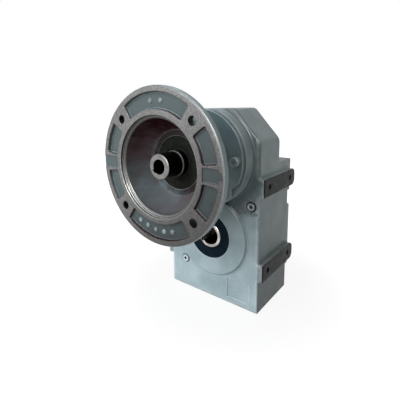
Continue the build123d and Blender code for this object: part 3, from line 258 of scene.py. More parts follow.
def tapped_holes(material, here, paint):
    """Painted shade: black inside the pads' tapped holes."""
    middle_z = mm((UPPER_PAD_Z + LOWER_PAD_Z) / 2)
    half_z = mm((UPPER_PAD_Z - LOWER_PAD_Z) / 2)
    centred = add_node(material, "ShaderNodeVectorMath", {0: here, 1: (0.0, 0.0, middle_z)},
                       operation="SUBTRACT")
    size = add_node(material, "ShaderNodeVectorMath", {0: centred}, operation="ABSOLUTE")
    offset = add_node(material, "ShaderNodeVectorMath",
                      {0: size, 1: (0.0, mm(PAD_HOLE_HALF_PITCH), half_z)},
                      operation="SUBTRACT")
    across = add_node(material, "ShaderNodeVectorMath", {0: offset, 1: (0.0, 1.0, 1.0)},
                      operation="MULTIPLY")
    radius = add_node(material, "ShaderNodeVectorMath", {0: across}, out="Value", operation="LENGTH")
    inside = add_node(material, "ShaderNodeMath", {0: radius, 1: mm(PAD_HOLE_RADIUS + PAD_HOLE_MARGIN)},
                      operation="LESS_THAN")
    out = add_node(material, "ShaderNodeSeparateXYZ", {"Vector": size}, out="X")
    side = add_node(material, "ShaderNodeMath", {0: out, 1: mm(PAD_SIDE_FROM)}, operation="GREATER_THAN")
    hole = add_node(material, "ShaderNodeMath", {0: inside, 1: side}, operation="MULTIPLY")
    dark = add_node(material, "ShaderNodeMix", {0: hole, 6: paint, 7: linear(HOLE_SHADE_BLACK)}, out=2,
                    data_type="RGBA")
    return dark, hole


def casing_corners(material, here):
    """The casting's long outer corners: down the front's sides and along its foot."""
    size = add_node(material, "ShaderNodeVectorMath", {0: here}, operation="ABSOLUTE")
    out = add_node(material, "ShaderNodeSeparateXYZ", {"Vector": size}, out="X")
    beside = add_node(material, "ShaderNodeMath", {0: out, 1: mm(CORNER_FROM)}, operation="GREATER_THAN")
    height = add_node(material, "ShaderNodeSeparateXYZ", {"Vector": here}, out="Z")
    low = add_node(material, "ShaderNodeMath", {0: height, 1: mm(CASE_FOOT + CORNER_BAND)},
                   operation="LESS_THAN")
    depth = add_node(material, "ShaderNodeSeparateXYZ", {"Vector": here}, out="Y")
    front = add_node(material, "ShaderNodeMath", {0: depth, 1: mm(CASE_FRONT + CORNER_BAND)},
                     operation="LESS_THAN")
    either = add_node(material, "ShaderNodeMath", {0: beside, 1: low}, operation="MAXIMUM")
    return add_node(material, "ShaderNodeMath", {0: either, 1: front}, operation="MULTIPLY")


def shaded_sides(material, here, patches):
    """Painted shade: the casing's sides darker towards the foot, and the flange's painted shadow round the
    root of the neck.
    """
    size = add_node(material, "ShaderNodeVectorMath", {0: here}, operation="ABSOLUTE")
    out = add_node(material, "ShaderNodeSeparateXYZ", {"Vector": size}, out="X")
    side = add_node(material, "ShaderNodeMath", {0: out, 1: mm(SIDE_FROM)}, operation="GREATER_THAN")
    height = add_node(material, "ShaderNodeSeparateXYZ", {"Vector": here}, out="Z")
    level = wandering(material, height, patches, SIDE_SHADE_DRIFT)
    share = add_node(material, "ShaderNodeMapRange", {
        "Value": level, "From Min": mm(SIDE_SHADE[0]), "From Max": mm(SIDE_SHADE[1]), "To Min": 0.0,
        "To Max": SIDE_SHADE_MOST})
    share = add_node(material, "ShaderNodeMath", {0: share, 1: side}, operation="MULTIPLY")
    from_neck = wandering(material, radius_about(material, here, mm(NECK_Z)), patches, NECK_SHADOW_DRIFT)
    close = add_node(material, "ShaderNodeMapRange", {
        "Value": from_neck, "From Min": mm(NECK_SHADOW[0]), "From Max": mm(NECK_SHADOW[1]),
        "To Min": NECK_SHADOW_MOST, "To Max": 0.0})
    depth = add_node(material, "ShaderNodeSeparateXYZ", {"Vector": here}, out="Y")
    front = add_node(material, "ShaderNodeMath", {0: depth, 1: mm(CASE_FRONT), 2: mm(NECK_FLARE)},
                     operation="COMPARE")
    close = add_node(material, "ShaderNodeMath", {0: close, 1: front}, operation="MULTIPLY")
    return add_node(material, "ShaderNodeMath", {0: share, 1: close}, operation="MAXIMUM")


def dress(material, *names):
    """Gives CAD nodes one material."""
    for name in names:
        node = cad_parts[name]
        node.data.materials.clear()
        node.data.materials.append(material)


casing_enamel = cast_enamel("enamelled_grey_iron", milled_pads, ENAMEL_PALE, ENAMEL_DEEP,
                            (MILLED_PAD_OIL_AND_REFLECTION, MILLED_PAD_WORN_OIL_AND_REFLECTION), bare_metal=0.0, tint=tapped_holes,
                            darkening=shaded_sides, bare_specular=0.08, corners=casing_corners)
dress(casing_enamel, "gear_case")


# Motor adapter: a bell-shaped iron casting between casing and motor, in the casing's enamel outside.
# Its round flange is faced and bored on a lathe, so the ring is bare grey iron, with rusty lines at the
# pockets and a painted glint on the spigot recess's edges. The pockets' thin enamel is dark and dirty, and
# high inside the bell the red-brown primer shows through. Painted shade darkens the top of the bell, the top
# of the spigot recess, the upper rear plate and the bolt holes.
POCKET_PAINT = "#525A58"
FACED_IRON = ("#575653", "#83817D")
RUST_LINE = "#42201F"
EDGE_IRON_GLINT = "#B9BAB3"
PRIMER = "#5C4A4B"
PRIMER_DARK = "#4A3A3B"
PRIMER_PAINTED_SHADE = "#2B1013"
PLATE_SHADE = "#67797C"
BELL_ENAMEL = "#656F6F"
FLOOR_ENAMEL = "#5E6766"
FLOOR_PRIMER = "#2C2322"
HOLE_SHADE = "#0C1011"
POCKET_REACH = 99.3
POCKET_WALL_DEPTH = 4.1
POCKET_COVER = 0.6
CHANNEL_HALF = 10.5
RIM_RADIUS = 96.5
RIM_DEPTH = 0.7
FACE_DEPTH = 0.15
FLANGE_DEPTH = 9.0
HOLE_REACH = 82.5 * math.sqrt(0.5)
HOLE_RADIUS = 5.7
SPIGOT_RADIUS = 65.1
BRIGHT_EDGE_MARGIN = 1.4
LIP_RADIUS = 60.4
LIP_DEPTH = 5.7
LIP_TOLERANCE = 0.4
FLOOR_RADIUS = 46.0
CONE_MARGIN = 4.0
FLOOR_MARGIN = 1.0
THINNER_TOWARD = (0.55, 0.0, 0.83)
THICK_BELOW = -72.0
THIN_ABOVE = -6.0
SHADE_ABOVE = 36.0
PRIMER_CLOUD = 14.0
PRIMER_DRIFT = 24.0
STREAKS = 4.0
SOIL_TOWARD = (0.72, 0.0, -0.69)
SOIL_REACH = 98.6
SOIL_FROM = (-25.0, 85.0)
SOIL_DRIFT = 25.0
SOIL_MOST = 0.6
RECESS_SHADE_FROM = (-45.0, 5.0)
RECESS_SHADE_MOST = 0.62
RUST_FROM = (-60.0, 60.0)
RUST_LEAST = 0.1
PLATE_FACE = -84.0
PLATE_EDGE_RADIUS = 69.4
PLATE_SHADE_FROM = (-30.0, 35.0)
flange_face_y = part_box("motor_adapter")[0].y
input_seal_low, input_seal_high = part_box("input_seal")
input_z = (input_seal_low.z + input_seal_high.z) / 2
bell_floor_y = input_seal_low.y


def faced_flange(material, here):
    """The turned front ring, and the spigot recess inside it."""
    depth = add_node(material, "ShaderNodeSeparateXYZ", {"Vector": here}, out="Y")
    radius = radius_about(material, here, input_z)
    front = add_node(material, "ShaderNodeMath", {0: depth, 1: flange_face_y + mm(FACE_DEPTH)},
                     operation="LESS_THAN")
    recess = add_node(material, "ShaderNodeMath", {0: depth, 1: flange_face_y + mm(LIP_DEPTH)},
                      operation="LESS_THAN")
    outside = add_node(material, "ShaderNodeMath", {0: radius, 1: mm(LIP_RADIUS)}, operation="GREATER_THAN")
    inside = add_node(material, "ShaderNodeMath", {0: radius, 1: mm(SPIGOT_RADIUS)}, operation="LESS_THAN")
    ring = add_node(material, "ShaderNodeMath", {0: outside, 1: inside}, operation="MULTIPLY")
    step = add_node(material, "ShaderNodeMath", {0: recess, 1: ring}, operation="MULTIPLY")
    at_rim = add_node(material, "ShaderNodeMath", {0: radius, 1: mm(RIM_RADIUS)}, operation="GREATER_THAN")
    near = add_node(material, "ShaderNodeMath", {0: depth, 1: flange_face_y + mm(RIM_DEPTH)},
                    operation="LESS_THAN")
    rim = add_node(material, "ShaderNodeMath", {0: at_rim, 1: near}, operation="MULTIPLY")
    turned = add_node(material, "ShaderNodeMath", {0: front, 1: step}, operation="MAXIMUM")
    return add_node(material, "ShaderNodeMath", {0: turned, 1: rim}, operation="MAXIMUM")


def pocket_rust(material, here):
    """Rust along the pockets' edges, and a painted glint on the edges of the spigot recess."""
    radius = radius_about(material, here, input_z)
    recess = add_node(material, "ShaderNodeMath", {0: radius, 1: mm(SPIGOT_RADIUS + BRIGHT_EDGE_MARGIN)},
                      operation="LESS_THAN")
    return add_node(material, "ShaderNodeMix", {0: recess, 6: linear(RUST_LINE), 7: linear(EDGE_IRON_GLINT)},
                    out=2, data_type="RGBA")


def darker_lower_right(material, here, patches):
    """Darker towards the flange's lower right, and painted shade in the top of the spigot recess."""
    depth = add_node(material, "ShaderNodeSeparateXYZ", {"Vector": here}, out="Y")
    front = add_node(material, "ShaderNodeMath", {0: depth, 1: flange_face_y + mm(FLANGE_DEPTH)},
                     operation="LESS_THAN")
    centred = add_node(material, "ShaderNodeVectorMath", {0: here, 1: (0.0, 0.0, input_z)},
                       operation="SUBTRACT")
    lean = add_node(material, "ShaderNodeVectorMath", {0: centred, 1: SOIL_TOWARD}, out="Value",
                    operation="DOT_PRODUCT")
    level = wandering(material, lean, patches, SOIL_DRIFT)
    share = add_node(material, "ShaderNodeMapRange", {
        "Value": level, "From Min": mm(SOIL_FROM[0]), "From Max": mm(SOIL_FROM[1]), "To Min": 0.0,
        "To Max": SOIL_MOST})
    height = add_node(material, "ShaderNodeSeparateXYZ", {"Vector": centred}, out="Z")
    # Painted shade in the top of the spigot recess.
    upper = add_node(material, "ShaderNodeMapRange", {
        "Value": height, "From Min": mm(RECESS_SHADE_FROM[0]), "From Max": mm(RECESS_SHADE_FROM[1]),
        "To Min": 0.0, "To Max": RECESS_SHADE_MOST})
    radius = radius_about(material, here, input_z)
    within = add_node(material, "ShaderNodeMath", {0: radius, 1: mm(SPIGOT_RADIUS)}, operation="LESS_THAN")
    outside = add_node(material, "ShaderNodeMath", {0: radius, 1: mm(LIP_RADIUS)}, operation="GREATER_THAN")
    recess = add_node(material, "ShaderNodeMath", {0: within, 1: outside}, operation="MULTIPLY")
    recess = add_node(material, "ShaderNodeMath", {0: recess, 1: upper}, operation="MULTIPLY")
    share = add_node(material, "ShaderNodeMath", {0: share, 1: recess}, operation="MAXIMUM")
    on_face = add_node(material, "ShaderNodeMath", {0: radius, 1: mm(SOIL_REACH)}, operation="LESS_THAN")
    share = add_node(material, "ShaderNodeMath", {0: share, 1: on_face}, operation="MULTIPLY")
    return add_node(material, "ShaderNodeMath", {0: share, 1: front}, operation="MULTIPLY")


def rusty_pockets(material, depth, radius, centred, paint):
    """Dark thin enamel in the flange's pockets, with rust down their walls towards the lower right."""
    shallow = add_node(material, "ShaderNodeMath", {0: depth, 1: flange_face_y + mm(FLANGE_DEPTH)},
                       operation="LESS_THAN")
    not_rim = add_node(material, "ShaderNodeMath", {0: radius, 1: mm(POCKET_REACH)}, operation="LESS_THAN")
    pocket = add_node(material, "ShaderNodeMath", {0: shallow, 1: not_rim}, operation="MULTIPLY")
    paint = add_node(material, "ShaderNodeMix", {0: pocket, 6: paint, 7: linear(POCKET_PAINT)}, out=2,
                     data_type="RGBA")
    off_floor = add_node(material, "ShaderNodeMath", {0: depth, 1: flange_face_y + mm(POCKET_WALL_DEPTH)},
                         operation="LESS_THAN")
    soiled = add_node(material, "ShaderNodeVectorMath", {0: centred, 1: SOIL_TOWARD}, out="Value",
                      operation="DOT_PRODUCT")
    bleeding = add_node(material, "ShaderNodeMapRange", {
        "Value": soiled, "From Min": mm(RUST_FROM[0]), "From Max": mm(RUST_FROM[1]), "To Min": RUST_LEAST,
        "To Max": 1.0})
    level_with = add_node(material, "ShaderNodeVectorMath", {0: centred}, operation="ABSOLUTE")
    beside = add_node(material, "ShaderNodeSeparateXYZ", {"Vector": level_with}, out="Z")
    off_channel = add_node(material, "ShaderNodeMath", {0: beside, 1: mm(CHANNEL_HALF)},
                           operation="GREATER_THAN")
    wall = add_node(material, "ShaderNodeMath", {0: pocket, 1: off_floor}, operation="MULTIPLY")
    wall = add_node(material, "ShaderNodeMath", {0: wall, 1: off_channel}, operation="MULTIPLY")
    wall = add_node(material, "ShaderNodeMath", {0: wall, 1: bleeding}, operation="MULTIPLY")
    paint = add_node(material, "ShaderNodeMix", {0: wall, 6: paint, 7: linear(RUST_LINE)}, out=2,
                     data_type="RGBA")
    return paint, pocket


def bell_mask(material, depth, radius):
    """The bowl inside the bell, from the spigot's lip to the floor."""
    deep = add_node(material, "ShaderNodeMath",
                    {0: depth, 1: flange_face_y + mm(LIP_DEPTH - LIP_TOLERANCE)},
                    operation="GREATER_THAN")
    wall_radius = add_node(material, "ShaderNodeMapRange", {
        "Value": depth, "From Min": flange_face_y + mm(LIP_DEPTH), "From Max": bell_floor_y,
        "To Min": mm(LIP_RADIUS + CONE_MARGIN), "To Max": mm(FLOOR_RADIUS + CONE_MARGIN)})
    within = add_node(material, "ShaderNodeMath", {0: radius, 1: wall_radius}, operation="LESS_THAN")
    before = add_node(material, "ShaderNodeMath", {0: depth, 1: bell_floor_y + mm(FLOOR_MARGIN)},
                      operation="LESS_THAN")
    bell = add_node(material, "ShaderNodeMath", {0: deep, 1: within}, operation="MULTIPLY")
    return add_node(material, "ShaderNodeMath", {0: bell, 1: before}, operation="MULTIPLY")


def primed_bell(material, here, depth, radius, centred):
    """Thin enamel low in the bell, cloudy primer above it with painted shade towards the top, and the turned
    ring round the seal.
    """
    lean = add_node(material, "ShaderNodeVectorMath", {0: centred, 1: THINNER_TOWARD}, out="Value",
                    operation="DOT_PRODUCT")
    stretched = add_node(material, "ShaderNodeVectorMath", {0: here, 1: (1.0, 0.3, 1.0)},
                         operation="MULTIPLY")
    drift = add_node(material, "ShaderNodeTexNoise", {
        "Vector": stretched, "Scale": per_mm(PRIMER_CLOUD), "Detail": 4.0})
    wander = add_node(material, "ShaderNodeMapRange", {
        "Value": drift, "From Min": 0.3, "From Max": 0.7, "To Min": -mm(PRIMER_DRIFT),
        "To Max": mm(PRIMER_DRIFT)})
    level = add_node(material, "ShaderNodeMath", {0: lean, 1: wander}, operation="ADD")
    thin = add_node(material, "ShaderNodeMapRange", {
        "Value": level, "From Min": mm(THICK_BELOW), "From Max": mm(THIN_ABOVE)})
    spoke = add_node(material, "ShaderNodeVectorMath", {0: centred, 1: (1.0, 0.0, 1.0)},
                     operation="MULTIPLY")
    spoke = add_node(material, "ShaderNodeVectorMath", {0: spoke}, operation="NORMALIZE")
    streak = add_node(material, "ShaderNodeTexNoise", {"Vector": spoke, "Scale": STREAKS, "Detail": 5.0})
    blotch = add_node(material, "ShaderNodeMath", {0: streak, 1: drift}, operation="ADD")
    mottle = add_node(material, "ShaderNodeMapRange", {"Value": blotch, "From Min": 0.8, "From Max": 1.2})
    primer = add_node(material, "ShaderNodeMix", {0: mottle, 6: linear(PRIMER_DARK), 7: linear(PRIMER)},
                      out=2, data_type="RGBA")
    # Painted shade: the primer darkens high in the bell.
    high = add_node(material, "ShaderNodeMapRange", {
        "Value": level, "From Min": mm(THIN_ABOVE), "From Max": mm(SHADE_ABOVE)})
    primer = add_node(material, "ShaderNodeMix", {0: high, 6: primer, 7: linear(PRIMER_PAINTED_SHADE)}, out=2,
                      data_type="RGBA")
    bowl = add_node(material, "ShaderNodeMix", {0: thin, 6: linear(BELL_ENAMEL), 7: primer}, out=2,
                    data_type="RGBA")
    near_floor = add_node(material, "ShaderNodeMath", {0: depth, 1: bell_floor_y - mm(LIP_TOLERANCE)},
                          operation="GREATER_THAN")
    in_ring = add_node(material, "ShaderNodeMath", {0: radius, 1: mm(FLOOR_RADIUS)}, operation="LESS_THAN")
    floor_ring = add_node(material, "ShaderNodeMath", {0: near_floor, 1: in_ring}, operation="MULTIPLY")
    turned = add_node(material, "ShaderNodeMix",
                      {0: thin, 6: linear(FLOOR_ENAMEL), 7: linear(FLOOR_PRIMER)},
                      out=2, data_type="RGBA")
    return add_node(material, "ShaderNodeMix", {0: floor_ring, 6: bowl, 7: turned}, out=2, data_type="RGBA")


def shaded_plate(material, depth, radius, centred):
    """The upper part of the rear plate, behind the flange, darkened with painted shade for the flange's
    shadow.
    """
    behind = add_node(material, "ShaderNodeMath", {0: depth, 1: mm(PLATE_FACE)}, operation="GREATER_THAN")
    on_plate = add_node(material, "ShaderNodeMath", {0: radius, 1: mm(PLATE_EDGE_RADIUS)},
                        operation="LESS_THAN")
    height = add_node(material, "ShaderNodeSeparateXYZ", {"Vector": centred}, out="Z")
    shaded_top = add_node(material, "ShaderNodeMapRange", {
        "Value": height, "From Min": mm(PLATE_SHADE_FROM[0]), "From Max": mm(PLATE_SHADE_FROM[1])})
    plate = add_node(material, "ShaderNodeMath", {0: behind, 1: on_plate}, operation="MULTIPLY")
    return add_node(material, "ShaderNodeMath", {0: plate, 1: shaded_top}, operation="MULTIPLY")


def adapter_paint(material, here, paint):
    """The adapter's paint in its pockets, bell and bolt holes, with painted shade in the holes and on the
    rear plate, and a mask of where it is thin and dull.
    """
    depth = add_node(material, "ShaderNodeSeparateXYZ", {"Vector": here}, out="Y")
    radius = radius_about(material, here, input_z)
    centred = add_node(material, "ShaderNodeVectorMath", {0: here, 1: (0.0, 0.0, input_z)},
                       operation="SUBTRACT")
    paint, pocket = rusty_pockets(material, depth, radius, centred, paint)
    bell = bell_mask(material, depth, radius)
    inner = primed_bell(material, here, depth, radius, centred)
    paint = add_node(material, "ShaderNodeMix", {0: bell, 6: paint, 7: inner}, out=2, data_type="RGBA")
    # Painted shade: the bolt holes are dark inside.
    quarter = add_node(material, "ShaderNodeVectorMath", {0: centred}, operation="ABSOLUTE")
    from_hole = radius_about(material, quarter, mm(HOLE_REACH), mm(HOLE_REACH))
    hole = add_node(material, "ShaderNodeMath", {0: from_hole, 1: mm(HOLE_RADIUS)}, operation="LESS_THAN")
    paint = add_node(material, "ShaderNodeMix", {0: hole, 6: paint, 7: linear(HOLE_SHADE)}, out=2,
                     data_type="RGBA")
    # Painted shade on the upper rear plate, where the flange shades it.
    plate = shaded_plate(material, depth, radius, centred)
    paint = add_node(material, "ShaderNodeMix", {0: plate, 6: paint, 7: linear(PLATE_SHADE)}, out=2,
                     data_type="RGBA")
    covered = add_node(material, "ShaderNodeMath", {0: pocket, 1: POCKET_COVER}, operation="MULTIPLY")
    covered = add_node(material, "ShaderNodeMath", {0: bell, 1: covered}, operation="MAXIMUM")
    covered = add_node(material, "ShaderNodeMath", {0: hole, 1: covered}, operation="MAXIMUM")
    return paint, covered


bell_enamel = cast_enamel("enamelled_bell_casting", faced_flange, ENAMEL_PALE, ENAMEL_DEEP, FACED_IRON,
                          bare_metal=0.5, tint=adapter_paint, rust=pocket_rust, darkening=darker_lower_right)
dress(bell_enamel, "motor_adapter")


# Gaskets: oiled gasket paper cut to the outline of the joint, nipped between adapter and neck and under the
# rear cover. Only their dark edges show.
GASKET_BROWN = "#2A2722"
GASKET_SOAKED = "#12110F"
PAPER_FIBRE = 1.5
paper = new_material("oiled_gasket_paper")
paper_here = add_node(paper, "ShaderNodeTexCoord", out="Object")
fibres = add_node(paper, "ShaderNodeTexNoise",
                  {"Vector": paper_here, "Scale": per_mm(PAPER_FIBRE), "Detail": 4.0})
paper_colour = add_node(paper, "ShaderNodeMix",
                        {0: fibres, 6: linear(GASKET_SOAKED), 7: linear(GASKET_BROWN)},
                        out=2, data_type="RGBA")
paper_rough = add_node(paper, "ShaderNodeMapRange", {"Value": fibres, "To Min": 0.6, "To Max": 0.8})
paper_bump = add_node(paper, "ShaderNodeBump", {"Height": fibres, "Distance": mm(0.05)})
finish_surface(paper, paper_colour, paper_rough, 0.0, paper_bump, 0.2)
dress(paper, "adapter_gasket", "rear_cover_gasket")


# Socket head screws: steel with knurled heads. Four hold the adapter to the casing's neck and were sprayed
# over with it. Eight hold the rear cover, in dull blue-grey zinc plating that is rubbed brighter on the rims.
ZINC_DULL = "#5A6265"
ZINC_BRIGHT = "#B4BABC"
SPRAYED_SCREW = "#8B9898"
PLATING_SPECK = 2.5
PLATING_ROUNDING = 0.6
PLATING_GRIME_AND_SHADE_REACH = 4.0
HEAD_RADIUS = 6.5
HEAD_HEIGHT = 8.0
KNURL_RIDGES = 40
KNURL_HEIGHT = 0.22
KNURL_FOOT = 0.1
KNURL_MARGIN = 1.2
COVER_SCREWS = ((69.0, 101.0), (69.0, 28.0), (69.0, -52.0), (34.0, -90.0))
PLUG_SOCKET_RADIUS = 3.0
PLUG_FACE_DEPTH = 0.2


def plated(name, dull, bright, metallic, plug=None, dirt_and_shade_share=1.0):
    """Plating with rubbed edges, darker in its recesses with dirt and painted shade; a plug's hex socket is
    painted black as shade.
    """
    material = new_material(name)
    here = add_node(material, "ShaderNodeTexCoord", out="Object")
    speck = add_node(material, "ShaderNodeTexNoise",
                     {"Vector": here, "Scale": per_mm(PLATING_SPECK), "Detail": 3.0})
    rounded = add_node(material, "ShaderNodeBevel", {"Radius": mm(PLATING_ROUNDING)}, samples=6)
    edge = sharp_edges(material, rounded)
    rubbed = add_node(material, "ShaderNodeMath", {0: edge, 1: 0.8}, operation="MULTIPLY")
    stain = add_node(material, "ShaderNodeMapRange", {
        "Value": speck, "From Min": 0.3, "From Max": 0.7, "To Min": 0.0, "To Max": 0.35})
    wear = add_node(material, "ShaderNodeMath", {0: rubbed, 1: stain}, operation="MAXIMUM")
    shade = add_node(material, "ShaderNodeAmbientOcclusion", {"Distance": mm(PLATING_GRIME_AND_SHADE_REACH)},
                     out="AO", samples=6)
    # Dirt and painted shade: darker in recesses such as the socket and under the head.
    dirt_and_shade = add_node(material, "ShaderNodeMapRange", {
        "Value": shade, "From Min": 0.75, "From Max": 0.25, "To Min": 0.0, "To Max": dirt_and_shade_share})
    colour = add_node(material, "ShaderNodeMix", {0: wear, 6: linear(dull), 7: linear(bright)}, out=2,
                      data_type="RGBA")
    colour = add_node(material, "ShaderNodeMix", {0: dirt_and_shade, 6: colour, 7: linear(HOLE_SHADE_BLACK)}, out=2,
                      data_type="RGBA")
    # A plug's hex socket is painted black as shade.
    if plug:
        low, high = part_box(plug)
        radius = radius_about(material, here, (low.z + high.z) / 2, (low.x + high.x) / 2)
        near = add_node(material, "ShaderNodeMath", {0: radius, 1: mm(PLUG_SOCKET_RADIUS)},
                        operation="LESS_THAN")
        depth = add_node(material, "ShaderNodeSeparateXYZ", {"Vector": here}, out="Y")
        sunk = add_node(material, "ShaderNodeMath", {0: depth, 1: low.y + mm(PLUG_FACE_DEPTH)},
                        operation="GREATER_THAN")
        socket = add_node(material, "ShaderNodeMath", {0: near, 1: sunk}, operation="MULTIPLY")
        colour = add_node(material, "ShaderNodeMix", {0: socket, 6: colour, 7: linear(HOLE_SHADE_BLACK)}, out=2,
                          data_type="RGBA")
    roughness = add_node(material, "ShaderNodeMapRange", {"Value": speck, "To Min": 0.3, "To Max": 0.5})
    bump = add_node(material, "ShaderNodeBump", {"Height": speck, "Distance": mm(0.03), "Normal": rounded})
    finish_surface(material, colour, roughness, metallic, bump)
    return material


def new_piece(name, corners, faces, material, smooth, body="housing"):
    """A mesh piece that rides on a body."""
    mesh = bpy.data.meshes.new(name)
    mesh.from_pydata(corners, [], faces)
    mesh.materials.append(material)
    for face in mesh.polygons:
        face.use_smooth = smooth
    piece = bpy.data.objects.new(name, mesh)
    bpy.context.scene.collection.objects.link(piece)
    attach(piece, body)
    return piece


def knurled_heads(name, spots, seat_y, facing, material):
    """Straight knurling round socket heads: thin three-sided ridges along each head."""
    corners = []
    faces = []
    near = seat_y + facing * mm(KNURL_MARGIN)
    far = seat_y + facing * mm(HEAD_HEIGHT - KNURL_MARGIN)
    half = math.pi / KNURL_RIDGES
    for x, z in spots:
        for ridge in range(KNURL_RIDGES):
            middle_angle = 2 * math.pi * ridge / KNURL_RIDGES
            first = len(corners)
            for y in (near, far):
                for angle, radius in ((-half, HEAD_RADIUS - KNURL_FOOT), (0, HEAD_RADIUS + KNURL_HEIGHT),
                                      (half, HEAD_RADIUS - KNURL_FOOT)):
                    corners.append((x + mm(radius) * math.cos(middle_angle + angle), y,
                                    z + mm(radius) * math.sin(middle_angle + angle)))
            faces += [(first, first + 1, first + 4, first + 3), (first, first + 2, first + 1),
                      (first + 1, first + 2, first + 5, first + 4), (first + 3, first + 4, first + 5)]
    return new_piece(name, corners, faces, material, False)


zinc = plated("zinc_plated_steel", ZINC_DULL, ZINC_BRIGHT, 0.8)
# Its rubbed rims take the enamel's pale edge colour, part wear and part painted highlight.
sprayed_screw = plated("sprayed_over_screw", SPRAYED_SCREW, ENAMEL_EDGE_WEAR_AND_HIGHLIGHT, 0.1, dirt_and_shade_share=0.35)
dress(zinc, "rear_cover_screws")
dress(sprayed_screw, "adapter_screws")
screw_low, screw_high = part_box("adapter_screws")
reach = (screw_high.x - screw_low.x) / 2 - mm(HEAD_RADIUS)
adapter_spots = [(reach, input_z), (0, input_z + reach), (-reach, input_z), (0, input_z - reach)]
knurled_heads("adapter_screw_knurls", adapter_spots, screw_low.y + mm(HEAD_HEIGHT), -1, sprayed_screw)
cover_spots = [(mm(side * x), mm(z)) for side in (-1, 1) for x, z in COVER_SCREWS]
cover_seat_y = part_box("rear_cover_screws")[1].y - mm(HEAD_HEIGHT)
knurled_heads("cover_screw_knurls", cover_spots, cover_seat_y, 1, zinc)


# Oil plugs and their sealing rings: hex socket plugs in black bonded rings. The filler plug, upper right, was
# fitted after spraying. The level plug, lower left, was sprayed over with the casing, ring and all.
PLUG_GREY = "#7B8386"
WASHER_BLACK = "#0B0D0E"
WASHER_DUST = "#23282A"
WASHER_DUST_SIZE = 1.8
SPRAYED_SHARE = 0.55
dress(plated("plated_plug", PLUG_GREY, ZINC_BRIGHT, 0.4, "filler_plug"), "filler_plug")
dress(plated("sprayed_over_plug", ENAMEL_PALE, ENAMEL_EDGE_WEAR_AND_HIGHLIGHT, 0.0, "level_plug"), "level_plug")
bonded = new_material("bonded_rubber_washer")
bonded_here = add_node(bonded, "ShaderNodeTexCoord", out="Object")
dust = add_node(bonded, "ShaderNodeTexNoise", {"Vector": bonded_here, "Scale": per_mm(WASHER_DUST_SIZE)})
bonded_colour = add_node(bonded, "ShaderNodeMix",
                         {0: dust, 6: linear(WASHER_BLACK), 7: linear(WASHER_DUST)},
                         out=2, data_type="RGBA")
bonded_side = add_node(bonded, "ShaderNodeSeparateXYZ", {"Vector": bonded_here}, out="X")
sprayed = add_node(bonded, "ShaderNodeMath", {0: bonded_side, 1: 0.0}, operation="LESS_THAN")
thin_coat = add_node(bonded, "ShaderNodeMath", {0: sprayed, 1: SPRAYED_SHARE}, operation="MULTIPLY")
bonded_colour = add_node(bonded, "ShaderNodeMix", {0: thin_coat, 6: bonded_colour, 7: linear(ENAMEL_DEEP)},
                         out=2, data_type="RGBA")
bonded_rough = add_node(bonded, "ShaderNodeMapRange", {"Value": dust, "To Min": 0.55, "To Max": 0.75})
bonded_bump = add_node(bonded, "ShaderNodeBump", {"Height": dust, "Distance": mm(0.04)})
finish_surface(bonded, bonded_colour, bonded_rough, 0.0, bonded_bump, 0.2)
dress(bonded, "plug_washers")


# Shaft seals: a steel case covered in nitrile rubber, navy at the output and grey-green at the input, pressed
# into the casing and the bell. The mould left fine rings, and the rubber is matt and a little dusty.
RUBBER_NAVY = ("#020F17", "#081B26", "#22343D")
RUBBER_GREEN = ("#11120E", "#1E1F1A", "#34352F")
MOULD_RING = 1.6
RUBBER_CLOUD = 6.0
RUBBER_DUST = 0.9
OUTPUT_LIP = (22.6, 0.7)
INPUT_LIP = (20.4, 0.8)
DUST_LIP_SETBACK = 1.5
LATHE_STEPS = 96


def moulded_rubber(name, axis_z, colours):
    """Nitrile rubber with the mould's fine rings, in a dark and a light shade, and dust in a third."""
    material = new_material(name)
    here = add_node(material, "ShaderNodeTexCoord", out="Object")
    radius = radius_about(material, here, axis_z)
    turns = add_node(material, "ShaderNodeMath", {0: radius, 1: 2 * math.pi * per_mm(MOULD_RING)},
                     operation="MULTIPLY")
    rings = add_node(material, "ShaderNodeMath", {0: turns}, operation="SINE")
    bloom = add_node(material, "ShaderNodeTexNoise",
                     {"Vector": here, "Scale": per_mm(RUBBER_CLOUD), "Detail": 4.0})
    fine = add_node(material, "ShaderNodeTexNoise",
                    {"Vector": here, "Scale": per_mm(RUBBER_DUST), "Detail": 2.0})
    cloudy = add_node(material, "ShaderNodeMapRange", {"Value": bloom, "From Min": 0.35, "From Max": 0.65})
    colour = add_node(material, "ShaderNodeMix", {0: cloudy, 6: linear(colours[0]), 7: linear(colours[1])},
                      out=2, data_type="RGBA")
    dusty = add_node(material, "ShaderNodeMapRange", {
        "Value": fine, "From Min": 0.55, "From Max": 0.75, "To Min": 0.0, "To Max": 0.2})
    colour = add_node(material, "ShaderNodeMix", {0: dusty, 6: colour, 7: linear(colours[2])}, out=2,
                      data_type="RGBA")
    roughness = add_node(material, "ShaderNodeMapRange", {"Value": bloom, "To Min": 0.45, "To Max": 0.7})
    bump = add_node(material, "ShaderNodeBump", {"Height": rings, "Distance": mm(0.06), "Strength": 0.5})
    finish_surface(material, colour, roughness, 0.0, bump, 0.05)
    return material


def lathe(name, outline, centre, material, body="housing"):
    """Revolves (radius, y) points in millimetres about a line along Y through a centre (x, z) in metres."""
    corners = []
    faces = []
    count = len(outline)
    for step in range(LATHE_STEPS):
        angle = 2 * math.pi * step / LATHE_STEPS
        for radius, y in outline:
            corners.append((centre[0] + mm(radius) * math.cos(angle), mm(y),
                            centre[1] + mm(radius) * math.sin(angle)))
        following = (step + 1) % LATHE_STEPS
        for point in range(count - 1):
            faces.append((step * count + point, step * count + point + 1, following * count + point + 1,
                          following * count + point))
    return new_piece(name, corners, faces, material, True, body)


